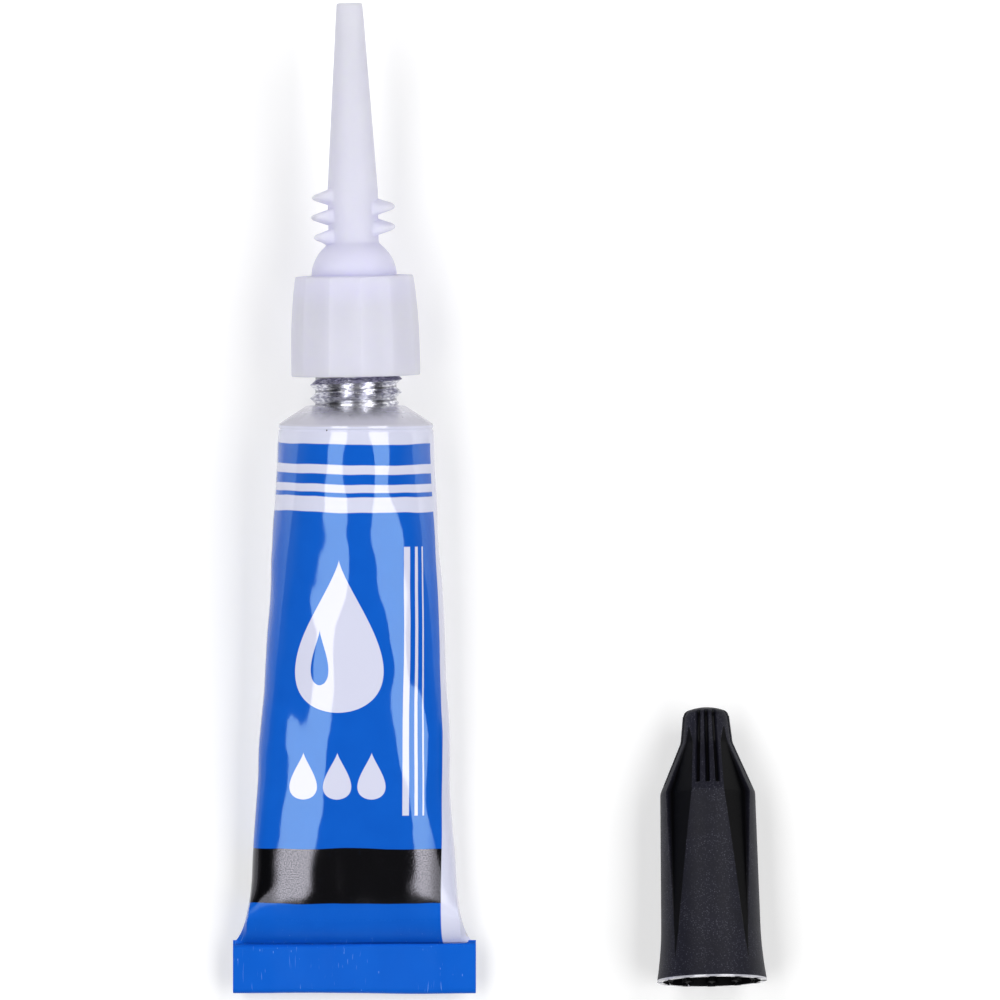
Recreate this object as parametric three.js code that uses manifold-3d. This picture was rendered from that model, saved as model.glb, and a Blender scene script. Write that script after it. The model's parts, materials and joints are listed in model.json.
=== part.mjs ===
// Tube of super glue: a collapsible aluminium tube with its screw-on nozzle, lying beside the cap.
// Millimetres. +Z is up, +Y runs along the tube towards the spout, and both pieces lie on z = 0.
// The tube's own frame has its axis on Y, with y = 0 at the shoulder's edge.
// The nozzle's and the cap's own frames have y = 0 at their open ends.

import * as THREE from 'three';
import { mergeVertices } from 'three/addons/utils/BufferGeometryUtils.js';
import Module from 'manifold-3d';

const wasm = await Module();
wasm.setup();

// Fits
const INNER_CLEARANCE = 0.2; // round the sealed pieces inside the tube
const SCREW_CLEARANCE = 0.3; // round the neck, and where the nozzle stops on the tube
const CAP_CLEARANCE = 0.12; // round the dome, the thread and the orifice, inside the cap
const SPOUT_ROOM = 0.36; // round the tapered spout, inside the cap

// Tube: sleeve, folded end, shoulder and neck
const TUBE_DIAMETER = 13.5;
const TUBE_WALL = 0.15;
const SLEEVE_LENGTH = 45.3;
const EVEN_FLATTENING = 0.66; // share of the flattening that is spread along the whole sleeve
const PINCH_POWER = 30; // how suddenly the rest of it comes, just above the fold
const FOLD_HEIGHT = 4.4;
const FOLD_LAYER_GAP = 0.06;
const FOLD_OVERHANG = 0.15; // pressed out past the flat sleeve at each end
const SHOULDER_HEIGHT = 1.7;
const SHOULDER_EDGE = 0.2; // rounding of the shoulder's edge
const SHOULDER_WALL = 0.6;
const NECK_STEP = 0.28; // ring of shoulder round the foot of the neck
const NECK_RADIUS = 4.05; // over its thread
const NECK_LENGTH = 6.6;
const NECK_WALL = 1.2;
const MEMBRANE_THICKNESS = 0.2;
const FILL_LOW = 0.955; // the sleeve's share, from the shoulder, that the adhesive reaches down to
const FILL_HIGH = 0.05;
const SEALANT_LENGTH = 0.9;
const CAVITY_END = 0.4; // solid end of the flattened sleeve, above the fold

// Nozzle: faceted skirt, dome, threaded core and tapered spout
const EXPOSED_NECK = 2.62; // neck left showing, with the nozzle screwed part of the way down
const SKIRT_WALL = 1.35;
const SKIRT_HEIGHT = 8.75;
const SKIRT_DRAFT = 0.48;
const SKIRT_BARREL_POWER = 2.6; // how late the skirt's side curves in, towards its top
const SKIRT_FACETS = 12;
const SKIRT_FACET_TURN = THREE.MathUtils.degToRad(-24);
const SKIRT_LEDGE = 1.5; // flat ring between the skirt's top edge and the dome
const NOZZLE_TRAVEL = 2.3; // from the shown place down to the shoulder
const NOZZLE_LEAN = THREE.MathUtils.degToRad(1.0); // it sits a little askew on its loose thread
const SPOUT_LENGTH = 23.8; // from the skirt's top face
const SPOUT_CORE_RADIUS = 2.19;
const SPOUT_CORE_TOP = 7.55; // where the spout begins to taper
const SPOUT_TIP_RADIUS = 1.13;
const SPOUT_TIP_EDGE = 0.18;
const BORE_RADIUS = 0.95;
const ORIFICE_RADIUS = 0.4;
const PIERCER_WALL = 0.6;
const THREAD_DEPTH = 1.49;
const THREAD_PITCH = 1.77;
const THREAD_TURNS = 2.25;
const THREAD_RUN_OUT = 0.2; // turns over which each end of the flight fades
const THREAD_START = THREE.MathUtils.degToRad(-130);
const THREAD_HEIGHT = 3.78; // above the skirt, where the flight first crosses the front
const THREAD_ROOTING = 0.5; // how deep the flight is rooted in the core
const THREAD_SINK = 0.15; // how deep its crest lies in the core where it is cut away
const CUT_AWAY_ANGLE = THREE.MathUtils.degToRad(30); // from the front and back, without a flight
const FULL_FLIGHT_ANGLE = THREE.MathUtils.degToRad(67); // from the front and back, where it is whole
const FLIGHT_ROOT = 1.3;
const FLIGHT_CREST = 0.4;

// Cap: hollow cone with four fluted wings
const CAP_TOP_WALL = 0.55;
const CAP_STANDOFF = 0.55; // the spout meets the cap's closed end this far before the mouth seats
const CAP_MOUTH_WALL = 0.52;
const CAP_RIB_HEIGHT = 0.46;
const CAP_RIB_LENGTH = 2.6;
const CAP_RIBS = 12;
const CAP_FLARE = 0.4; // how far the mouth stands out past the straight sides
const CAP_FLARE_LENGTH = 5;
const CAP_SIDE_TAPER = 0.27;
const CAP_NOSE_LENGTH = 7.4; // from the wings' corners to the tip
const CAP_TIP_LENGTH = 3.0; // collar at the end of the nose
const CAP_COLLAR_WALL = 0.8;
const CAP_TIP_WALL = 0.5;
const CAP_TIP_EDGE = 0.5;
const CAP_CROWN = 0.12; // how far the tip's middle stands out past its rounded edge
const CAP_PIN_LENGTH = 1.0;
const WING_COUNT = 4;
const WING_WIDTH = 2.9; // at the wings' corners
const WING_TOP_WIDTH = 2.45; // under the collar
const RECESS_START = 1.75; // above the mouth, where the recesses run out
const RECESS_DEPTH = 0.36; // below the chord between two wings' corners
const FLUTES = 3;
const FLUTE_SPACING = 0.78;
const FLUTE_WIDTH = 0.36;
const FLUTE_DEPTH = 0.28;
const FLUTE_START = 0.6; // above the wings' corners

// How the two pieces lie
const AXIS_SPACING = 31.1;
const CAP_AHEAD = 1.15; // the cap's mouth lies this far ahead of the tube's folded end
const CAP_YAW = THREE.MathUtils.degToRad(1.3);

// Fineness of the facets
const SECTION_POINTS = 40;
const FILL_POINTS = 24;
const SLEEVE_STEPS = 14;
const SLEEVE_STEP_POWER = 1.8; // crowds the steps towards the fold
const ROUND_SEGMENTS = 36;
const CURVE_STEPS = 6;
const THREAD_STEPS_PER_TURN = 36;

// Derived sizes
const TUBE_RADIUS = TUBE_DIAMETER / 2;
const FLAT_HALF_WIDTH = (Math.PI * TUBE_RADIUS) / 2;
const NECK_BORE = NECK_RADIUS - NECK_WALL;
const NECK_TOP = SHOULDER_HEIGHT + NECK_LENGTH;
const SKIRT_BORE = NECK_RADIUS + SCREW_CLEARANCE;
const SKIRT_RADIUS = SKIRT_BORE + SKIRT_WALL;
const SKIRT_TOP_RADIUS = SKIRT_RADIUS - SKIRT_DRAFT;
const NOZZLE_PLACE = SHOULDER_HEIGHT + EXPOSED_NECK;
const SKIRT_CEILING = NECK_TOP - NOZZLE_PLACE + NOZZLE_TRAVEL + SCREW_CLEARANCE;
const DOME_RADIUS = SKIRT_TOP_RADIUS - SKIRT_LEDGE;
const THREAD_RADIUS = SPOUT_CORE_RADIUS + THREAD_DEPTH;
const CAP_BORE = Math.max(DOME_RADIUS, THREAD_RADIUS) + CAP_CLEARANCE;
const CAP_MOUTH_BORE = CAP_BORE + CAP_RIB_HEIGHT;
const CAP_MOUTH_RADIUS = CAP_MOUTH_BORE + CAP_MOUTH_WALL;
const CAP_DEPTH = SPOUT_LENGTH + CAP_CLEARANCE - CAP_STANDOFF;
const CAP_LENGTH = CAP_DEPTH + CAP_TOP_WALL;
const CAP_CORNER = CAP_LENGTH - CAP_NOSE_LENGTH;
const CAP_CORNER_RADIUS = CAP_MOUTH_RADIUS - CAP_FLARE - CAP_SIDE_TAPER;
const CAP_COLLAR = CAP_LENGTH - CAP_TIP_LENGTH;
const CAP_SHOULDER = CAP_LENGTH - CAP_CROWN - CAP_TIP_EDGE;
const CAP_TIP_BORE = SPOUT_TIP_RADIUS + SPOUT_ROOM;
const CAP_TIP_RADIUS = CAP_TIP_BORE + CAP_TIP_WALL;
const CAP_COLLAR_RADIUS = CAP_TIP_BORE + CAP_COLLAR_WALL;

// Signed volume of an indexed geometry, which is negative where its faces point in.
function signedVolume(positions, index) {
  const corner = (i) => new THREE.Vector3().fromArray(positions, 3 * index[i]);
  let volume = 0;
  for (let i = 0; i < index.length; i += 3) {
    volume += corner(i).dot(corner(i + 1).cross(corner(i + 2))) / 6;
  }
  return volume;
}

// A closed geometry skinned over rings of equally many points, with flat convex ends.
function loft(rings) {
  const count = rings[0].length;
  const positions = rings.flat().flatMap((point) => point.toArray());
  const index = [];
  for (let ring = 0; ring + 1 < rings.length; ring += 1) {
    for (let i = 0; i < count; i += 1) {
      const a = ring * count + i;
      const b = ring * count + ((i + 1) % count);
      index.push(a, b, a + count, b, b + count, a + count);
    }
  }
  const last = (rings.length - 1) * count;
  for (let i = 1; i + 1 < count; i += 1) {
    index.push(0, i + 1, i, last, last + i, last + i + 1);
  }
  if (signedVolume(positions, index) < 0) {
    index.reverse();
  }
  const geometry = new THREE.BufferGeometry();
  geometry.setAttribute('position', new THREE.Float32BufferAttribute(positions, 3));
  geometry.setIndex(index);
  return geometry;
}

// A solid of revolution about Y through [radius, y] points.
function lathe(profile) {
  const points = profile.map(([radius, y]) => new THREE.Vector2(radius, y));
  return new THREE.LatheGeometry(points, ROUND_SEGMENTS);
}

// A geometry as a solid that can be joined and cut.
function solid(geometry) {
  const bare = geometry.clone();
  bare.deleteAttribute('normal');
  bare.deleteAttribute('uv');
  const merged = mergeVertices(bare, 1e-5);
  const corners = merged.index.array;
  const triangles = [];
  for (let i = 0; i < corners.length; i += 3) {
    const [a, b, c] = corners.slice(i, i + 3);
    if (a !== b && b !== c && c !== a) {
      triangles.push(a, b, c);
    }
  }
  return new wasm.Manifold(new wasm.Mesh({
    numProp: 3,
    vertProperties: new Float32Array(merged.attributes.position.array),
    triVerts: new Uint32Array(triangles),
  }));
}

function geometryOf(manifold) {
  const mesh = manifold.getMesh();
  const geometry = new THREE.BufferGeometry();
  geometry.setAttribute('position', new THREE.BufferAttribute(mesh.vertProperties, 3));
  geometry.setIndex(new THREE.BufferAttribute(mesh.triVerts, 1));
  return geometry;
}

function part(name, geometry, color, roughness, metalness) {
  const mesh = new THREE.Mesh(geometry, new THREE.MeshStandardMaterial({ color, roughness, metalness }));
  mesh.name = name;
  return mesh;
}

// Points of an arc as [radius, y] pairs, about [centreRadius, centreY].
function arc(centreRadius, centreY, size, from, to, steps = CURVE_STEPS) {
  return Array.from({ length: steps + 1 }, (_, i) => {
    const angle = from + ((to - from) * i) / steps;
    return [centreRadius + size * Math.cos(angle), centreY + size * Math.sin(angle)];
  });
}

// Sleeve sections: share 0 is the round shoulder, share 1 the flat end above the fold.
function flattening(share) {
  return EVEN_FLATTENING * share + (1 - EVEN_FLATTENING) * share ** PINCH_POWER;
}

// A round section whose sides are drawn apart, which keeps its flanks slightly crowned.
function sectionRing(halfWidth, halfThickness, y, count) {
  return Array.from({ length: count }, (_, i) => {
    const angle = (2 * Math.PI * i) / count;
    const across = Math.cos(angle);
    const spread = (3 * across - across ** 3) / 2;
    const x = halfThickness * across + (halfWidth - halfThickness) * spread;
    return new THREE.Vector3(x, y, halfThickness * Math.sin(angle));
  });
}

function roundRing(radius, y) {
  return sectionRing(radius, radius, y, SECTION_POINTS);
}

function sleeveRing(share, inset, count = SECTION_POINTS) {
  const flat = flattening(share);
  const halfWidth = THREE.MathUtils.lerp(TUBE_RADIUS, FLAT_HALF_WIDTH, flat);
  const halfThickness = THREE.MathUtils.lerp(TUBE_RADIUS, TUBE_WALL, flat);
  return sectionRing(halfWidth - inset, halfThickness - inset, -share * SLEEVE_LENGTH, count);
}

// Shares between two places on the sleeve, crowded towards the fold.
function sleeveShares(from, to) {
  const shares = Array.from(
    { length: SLEEVE_STEPS + 1 },
    (_, i) => 1 - (1 - i / SLEEVE_STEPS) ** SLEEVE_STEP_POWER,
  );
  const margin = 0.003;
  const between = shares.filter((share) => share > from + margin && share < to - margin);
  return [from, ...between, to];
}

// The flat end folded over twice to the front, as one strip rolled up on itself.
function foldedEnd() {
  const strip = 2 * TUBE_WALL;
  const layer = strip + FOLD_LAYER_GAP;
  const top = -SLEEVE_LENGTH;
  const turnLow = top - FOLD_HEIGHT + layer + strip / 2;
  const turnHigh = top - layer / 2 - strip / 2;
  const outline = (side) => [
    [top + strip, -side],
    ...arc(turnLow, layer, layer + side, 1.5 * Math.PI, 0.5 * Math.PI),
    ...arc(turnHigh, 1.5 * layer, layer / 2 + side, 0.5 * Math.PI, -0.5 * Math.PI),
    [turnLow + FOLD_LAYER_GAP, layer - side],
  ];
  const points = [...outline(strip / 2), ...outline(-strip / 2).reverse()];
  const shape = new THREE.Shape(points.map(([y, z]) => new THREE.Vector2(y, z)));
  const width = 2 * (FLAT_HALF_WIDTH + FOLD_OVERHANG);
  const geometry = new THREE.ExtrudeGeometry(shape, { depth: width, bevelEnabled: false });
  const along = new THREE.Vector3(0, 1, 0);
  const up = new THREE.Vector3(0, 0, 1);
  const across = new THREE.Vector3(1, 0, 0);
  geometry.translate(0, 0, -width / 2);
  geometry.applyMatrix4(new THREE.Matrix4().makeBasis(along, up, across));
  return geometry;
}

function tubeBody() {
  const cavityEnd = 1 - CAVITY_END / SLEEVE_LENGTH;
  const outside = [
    ...sleeveShares(0, 1).reverse().map((share) => sleeveRing(share, 0)),
    roundRing(TUBE_RADIUS - SHOULDER_EDGE, SHOULDER_EDGE),
    roundRing(NECK_RADIUS + NECK_STEP, SHOULDER_HEIGHT),
    roundRing(NECK_RADIUS, SHOULDER_HEIGHT),
    roundRing(NECK_RADIUS, NECK_TOP),
  ];
  const inside = [
    roundRing(NECK_BORE, NECK_TOP),
    roundRing(NECK_BORE, SHOULDER_HEIGHT - SHOULDER_WALL),
    ...sleeveShares(SHOULDER_WALL / SLEEVE_LENGTH, cavityEnd).map((share) => sleeveRing(share, TUBE_WALL)),
  ];
  const shell = solid(loft([...outside, ...inside]));
  return geometryOf(shell.add(solid(foldedEnd())));
}

// Thin end of the neck, which the nozzle's piercer breaks.
function neckMembrane() {
  const edge = NECK_BORE - INNER_CLEARANCE;
  return geometryOf(solid(lathe([
    [0, NECK_TOP - MEMBRANE_THICKNESS],
    [edge, NECK_TOP - MEMBRANE_THICKNESS],
    [edge, NECK_TOP],
    [0, NECK_TOP],
  ])));
}

function adhesiveFill() {
  const inset = TUBE_WALL + INNER_CLEARANCE;
  return loft(sleeveShares(FILL_HIGH, FILL_LOW).map((share) => sleeveRing(share, inset, FILL_POINTS)));
}

// Bead of latex pressed into the narrow end of the sleeve.
function endSealant() {
  const inset = TUBE_WALL + INNER_CLEARANCE;
  const low = 1 - (CAVITY_END + INNER_CLEARANCE) / SLEEVE_LENGTH;
  const high = low - SEALANT_LENGTH / SLEEVE_LENGTH;
  return loft(sleeveShares(high, low).map((share) => sleeveRing(share, inset, FILL_POINTS)));
}

// Facets of the skirt, which curve in towards the top.
function skirt() {
  const ring = (step) => {
    const rise = step / CURVE_STEPS;
    const radius = SKIRT_RADIUS - SKIRT_DRAFT * rise ** SKIRT_BARREL_POWER;
    return Array.from({ length: SKIRT_FACETS }, (_, i) => {
      const angle = SKIRT_FACET_TURN + (2 * Math.PI * i) / SKIRT_FACETS;
      const y = rise * SKIRT_HEIGHT;
      return new THREE.Vector3(radius * Math.sin(angle), y, radius * Math.cos(angle));
    });
  };
  return loft(Array.from({ length: CURVE_STEPS + 1 }, (_, step) => ring(step)));
}

function domeAndSpout() {
  const foot = SKIRT_CEILING;
  const tip = SKIRT_HEIGHT + SPOUT_LENGTH;
  const coreAngle = Math.acos(SPOUT_CORE_RADIUS / DOME_RADIUS);
  return lathe([
    [0, foot],
    [DOME_RADIUS, foot],
    ...arc(0, SKIRT_HEIGHT, DOME_RADIUS, 0, coreAngle),
    [SPOUT_CORE_RADIUS, SKIRT_HEIGHT + SPOUT_CORE_TOP],
    [SPOUT_TIP_RADIUS, tip - SPOUT_TIP_EDGE],
    [SPOUT_TIP_RADIUS - SPOUT_TIP_EDGE, tip],
    [0, tip],
  ]);
}

// One right-hand flight, rounded at its crest and fading into the core at both ends.
// It is moulded in two halves, and is cut away along their parting line at the front and the back.
function spoutThread() {
  const steps = Math.round(THREAD_STEPS_PER_TURN * THREAD_TURNS);
  const rootRadius = SPOUT_CORE_RADIUS - THREAD_ROOTING;
  const sunkRadius = SPOUT_CORE_RADIUS - THREAD_SINK;
  const ring = (step) => {
    const turned = (THREAD_TURNS * step) / steps;
    const angle = THREAD_START + 2 * Math.PI * turned;
    const runOut = Math.min(1, turned / THREAD_RUN_OUT, (THREAD_TURNS - turned) / THREAD_RUN_OUT);
    const sideways = THREE.MathUtils.smoothstep(
      Math.abs(Math.sin(angle)),
      Math.sin(CUT_AWAY_ANGLE),
      Math.sin(FULL_FLIGHT_ANGLE),
    );
    const crest = sunkRadius + (THREAD_RADIUS - sunkRadius) * Math.sin((runOut * Math.PI) / 2) * sideways;
    const height = SKIRT_HEIGHT + THREAD_HEIGHT + (THREAD_PITCH * angle) / (2 * Math.PI);
    const section = [
      [rootRadius, -FLIGHT_ROOT / 2],
      [crest - FLIGHT_CREST / 2, -FLIGHT_CREST / 2],
      [crest, 0],
      [crest - FLIGHT_CREST / 2, FLIGHT_CREST / 2],
      [rootRadius, FLIGHT_ROOT / 2],
    ];
    return section.map(([radius, rise]) => new THREE.Vector3(
      radius * Math.sin(angle),
      height + rise,
      radius * Math.cos(angle),
    ));
  };
  return loft(Array.from({ length: steps + 1 }, (_, step) => ring(step)));
}

// Room for the neck, with the hollow piercer standing in it and the bore through to the tip.
function nozzleHollow() {
  const piercerTip = NECK_TOP - NOZZLE_PLACE + SCREW_CLEARANCE;
  const tip = SKIRT_HEIGHT + SPOUT_LENGTH;
  const past = 1;
  return lathe([
    [0, -past],
    [SKIRT_BORE, -past],
    [SKIRT_BORE, SKIRT_CEILING],
    [BORE_RADIUS + PIERCER_WALL, SKIRT_CEILING],
    [BORE_RADIUS, piercerTip],
    [BORE_RADIUS, SKIRT_HEIGHT + SPOUT_CORE_TOP],
    [ORIFICE_RADIUS, tip],
    [ORIFICE_RADIUS, tip + past],
    [0, tip + past],
  ]);
}

function nozzle() {
  const outside = solid(skirt()).add(solid(domeAndSpout())).add(solid(spoutThread()));
  return geometryOf(outside.subtract(solid(nozzleHollow())));
}

// Cap's side radius at a height above the mouth: straight sides that flare out to the mouth.
function capSide(height) {
  const flare = Math.max(0, 1 - height / CAP_FLARE_LENGTH);
  const straight = CAP_MOUTH_RADIUS - CAP_FLARE - (CAP_SIDE_TAPER * height) / CAP_CORNER;
  return straight + CAP_FLARE * flare ** 2;
}

function capOutside() {
  const flare = Array.from({ length: CURVE_STEPS }, (_, i) => {
    const height = (CAP_FLARE_LENGTH * i) / (CURVE_STEPS - 1);
    return [capSide(height), height];
  });
  return lathe([
    [0, 0],
    ...flare,
    [CAP_CORNER_RADIUS, CAP_CORNER],
    [CAP_COLLAR_RADIUS, CAP_COLLAR],
    ...arc(CAP_TIP_RADIUS - CAP_TIP_EDGE, CAP_SHOULDER, CAP_TIP_EDGE, 0, Math.PI / 2, 4),
    [0, CAP_LENGTH],
  ]);
}

// Coffin-shaped recess between two wings, which meet where it ends in a point above the mouth.
function capRecess(angle) {
  const station = (height, radius, wing, depth) => {
    const half = wing / 2;
    const chord = Math.sqrt(radius ** 2 - half ** 2);
    const floorHalf = (chord - half) / Math.SQRT2;
    const floor = (chord + half) / Math.SQRT2 - depth;
    const outer = radius + CAP_FLARE + depth;
    return [[floor, -floorHalf], [floor, floorHalf], [outer, floorHalf], [outer, -floorHalf]].map(
      ([out, across]) => new THREE.Vector3(across, height, out).applyAxisAngle(THREE.Object3D.DEFAULT_UP, angle),
    );
  };
  return loft([
    station(RECESS_START, capSide(RECESS_START), capSide(RECESS_START) * Math.SQRT2, 0),
    station(CAP_CORNER, CAP_CORNER_RADIUS, WING_WIDTH, RECESS_DEPTH),
    station(CAP_COLLAR, CAP_COLLAR_RADIUS, WING_TOP_WIDTH, 0),
  ]);
}

// Groove that runs up the nose from a height above the mouth, and over the tip.
function capFlute(angle, offset, start) {
  const station = (height, radius) => {
    const surface = Math.sqrt(radius ** 2 - offset ** 2);
    return [
      [offset - FLUTE_WIDTH / 2, surface + FLUTE_DEPTH],
      [offset + FLUTE_WIDTH / 2, surface + FLUTE_DEPTH],
      [offset + FLUTE_WIDTH / 4, surface - FLUTE_DEPTH],
      [offset - FLUTE_WIDTH / 4, surface - FLUTE_DEPTH],
    ].map(([x, z]) => new THREE.Vector3(x, height, z).applyAxisAngle(THREE.Object3D.DEFAULT_UP, angle));
  };
  const rise = (start - CAP_CORNER) / (CAP_COLLAR - CAP_CORNER);
  return loft([
    station(start, THREE.MathUtils.lerp(CAP_CORNER_RADIUS, CAP_COLLAR_RADIUS, rise)),
    station(CAP_COLLAR, CAP_COLLAR_RADIUS),
    station(CAP_SHOULDER, CAP_TIP_RADIUS),
    station(CAP_LENGTH + FLUTE_DEPTH, CAP_TIP_RADIUS - CAP_TIP_EDGE),
  ]);
}

// Room for the dome, the thread and the spout, with a pin left standing to plug the orifice.
function capHollow() {
  const past = 1;
  const threadTop = SPOUT_CORE_TOP;
  const pin = ORIFICE_RADIUS - CAP_CLEARANCE;
  return lathe([
    [0, -past],
    [CAP_MOUTH_BORE, -past],
    [CAP_MOUTH_BORE, CAP_RIB_LENGTH],
    [CAP_BORE, CAP_RIB_LENGTH + CAP_RIB_HEIGHT],
    [CAP_BORE, threadTop],
    [SPOUT_CORE_RADIUS + SPOUT_ROOM, threadTop + CAP_BORE - SPOUT_CORE_RADIUS],
    [CAP_TIP_BORE, CAP_DEPTH],
    [pin, CAP_DEPTH],
    [pin, CAP_DEPTH - CAP_PIN_LENGTH],
    [0, CAP_DEPTH - CAP_PIN_LENGTH],
  ]);
}

// Half-round grip rib inside the mouth.
function capRib(angle) {
  const rib = new THREE.CylinderGeometry(CAP_RIB_HEIGHT, CAP_RIB_HEIGHT, CAP_RIB_LENGTH, 8);
  rib.translate(0, CAP_RIB_LENGTH / 2, CAP_MOUTH_BORE);
  return rib.rotateY(angle);
}

function cap() {
  let body = solid(capOutside());
  for (let wing = 0; wing < WING_COUNT; wing += 1) {
    const angle = (2 * Math.PI * wing) / WING_COUNT;
    const between = angle + Math.PI / WING_COUNT;
    body = body.subtract(solid(capRecess(between)));
    body = body.subtract(solid(capFlute(between, 0, CAP_COLLAR - FLUTE_WIDTH)));
    for (let flute = 0; flute < FLUTES; flute += 1) {
      const offset = (flute - (FLUTES - 1) / 2) * FLUTE_SPACING;
      body = body.subtract(solid(capFlute(angle, offset, CAP_CORNER + FLUTE_START)));
    }
  }
  let hollow = solid(capHollow());
  for (let rib = 0; rib < CAP_RIBS; rib += 1) {
    hollow = hollow.subtract(solid(capRib((2 * Math.PI * rib) / CAP_RIBS)));
  }
  return geometryOf(body.subtract(hollow));
}

// Lowers or lifts a piece until its lowest point is on the table.
function layDown(piece) {
  const box = new THREE.Box3().setFromObject(piece, true);
  piece.position.z -= box.min.z;
  return piece;
}

const nozzlePiece = part('nozzle', nozzle(), 0xdedcee, 0.4, 0);
nozzlePiece.position.y = NOZZLE_PLACE;
nozzlePiece.rotation.z = NOZZLE_LEAN;

// The sleeve's straight back lies flat, which lifts the spout.
const tube = new THREE.Group();
tube.add(
  part('tube_body', tubeBody(), 0x185fcd, 0.3, 0.4),
  part('neck_membrane', neckMembrane(), 0xc9ccd0, 0.35, 0.9),
  part('adhesive', adhesiveFill(), 0xe6ecee, 0.1, 0),
  part('end_sealant', endSealant(), 0xd8d0b4, 0.7, 0),
  nozzlePiece,
);
tube.rotation.x = Math.atan2(EVEN_FLATTENING * (TUBE_RADIUS - TUBE_WALL), SLEEVE_LENGTH);
layDown(tube);

// The cap lies on a wing, between the wing's corner and the mouth.
const capPiece = part('cap', cap(), 0x1a191e, 0.6, 0);
capPiece.rotation.order = 'ZXY';
capPiece.rotation.z = CAP_YAW;
capPiece.rotation.x = -Math.atan2(CAP_MOUTH_RADIUS - CAP_CORNER_RADIUS, CAP_CORNER);
capPiece.position.set(AXIS_SPACING, CAP_AHEAD - SLEEVE_LENGTH - FOLD_HEIGHT, 0);
layDown(capPiece);

// The pair's origin is under the middle of their common box.
const pair = new THREE.Group();
pair.add(tube, capPiece);
const centre = new THREE.Box3().setFromObject(pair, true).getCenter(new THREE.Vector3());
pair.position.set(-centre.x, -centre.y, 0);

export default pair;
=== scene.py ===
"""Looks of a small tube of super glue that lies beside its cap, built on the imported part's frame.

Sizes are in millimetres in each piece's own frame, and become metres where its mesh is made.
The tube's frame has its axis on Y, with y = 0 at the shoulder's edge and its printed front to +Z.
The nozzle's and the cap's frames have y = 0 at their open ends.
Angles round an axis start at the front, and are positive towards the right.
"""

import json
from math import asin, ceil, cos, exp, hypot, inf, log1p, pi, radians, sin, sqrt, tan

import bpy
import numpy as np
from mathutils import Matrix, Vector


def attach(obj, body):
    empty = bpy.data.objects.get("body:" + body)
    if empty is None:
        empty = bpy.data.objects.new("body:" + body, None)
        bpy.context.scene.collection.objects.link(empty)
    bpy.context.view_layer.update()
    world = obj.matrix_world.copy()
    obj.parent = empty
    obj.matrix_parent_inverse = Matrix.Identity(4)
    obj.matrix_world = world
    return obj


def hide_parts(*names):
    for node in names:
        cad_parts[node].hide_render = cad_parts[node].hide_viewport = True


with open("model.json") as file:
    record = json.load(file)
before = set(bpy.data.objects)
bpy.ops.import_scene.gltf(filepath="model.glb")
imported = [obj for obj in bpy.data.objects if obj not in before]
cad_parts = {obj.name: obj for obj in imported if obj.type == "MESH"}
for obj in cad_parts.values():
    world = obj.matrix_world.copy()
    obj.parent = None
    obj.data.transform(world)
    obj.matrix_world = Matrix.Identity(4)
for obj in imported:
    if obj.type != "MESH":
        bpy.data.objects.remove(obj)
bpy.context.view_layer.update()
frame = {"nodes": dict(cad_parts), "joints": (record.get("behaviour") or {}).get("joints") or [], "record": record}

scene = bpy.context.scene
MM = 0.001
TURN = 2 * pi
EDGE_STEPS = np.linspace(0, pi / 2, 6)  # angles round a rounded edge

# Tube: sleeve, folded end, shoulder and neck
TUBE_RADIUS = 6.75
TUBE_WALL = 0.15
TUBE_COLUMNS = 256
SLEEVE_ROWS = 260
SLEEVE_LENGTH = 45.3
EVEN_FLATTENING = 0.66
PINCH_POWER = 30
GIRTH = TURN * TUBE_RADIUS
FLAT_HALF_WIDTH = GIRTH / 4 - 0.1
LOWER_LEAN = 0.2  # how far the lower end lies to the left
LEAN_START = 12
LEAN_END = 36
FOLD_HEIGHT = 4.4
FOLD_LAYER = 0.36
FOLD_LEFT = 10.75
FOLD_RIGHT = 10.48
FOLD_SLANT = 0.016  # the front flap's upper edge is higher on the right
FOLD_ENDS = ((0, 0.62), (0.008, 0.8), (0.03, 0.93), (0.07, 0.99))  # distance inwards, share of thickness
SHOULDER_HEIGHT = 1.7
SHOULDER_EDGE = 0.2
NECK_RADIUS = 4.05
NECK_STEP = 0.28
NECK_LENGTH = 6.6
NECK_TOP = SHOULDER_HEIGHT + NECK_LENGTH
NECK_BORE = 2.85
NECK_THREAD_DEPTH = 0.5
NECK_ROOT = NECK_RADIUS - NECK_THREAD_DEPTH
NECK_THREAD_PITCH = 1.15
NECK_THREAD_TURN = radians(-80)
NECK_MARK = -10  # heights on the neck are kept with its print places, counted down from here
EDGE_GROOVE = 0.3  # a fine groove in the sleeve, just below the shoulder's edge
EDGE_GROOVE_DEPTH = 0.09
EDGE_GROOVE_WIDTH = 0.1
GUSSET_CREASE = 9.35  # half width of the flat front panel just above the fold
GUSSET_START = 40.2
GUSSET_END = 43.2
MEMBRANE_FACE = NECK_TOP - 0.1
MEMBRANE_BACK = NECK_TOP - 0.4
MEMBRANE_DISH = 0.14
GLUE_START = 2.3
GLUE_END = 43.0
GLUE_INSET = 0.36  # between the tube's outside and the glue
INNER_COLUMNS = 96
SCORE_RADIUS = 2.1
SCORE_WIDTH = 0.09
SCORE_DEPTH = 0.03

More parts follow.
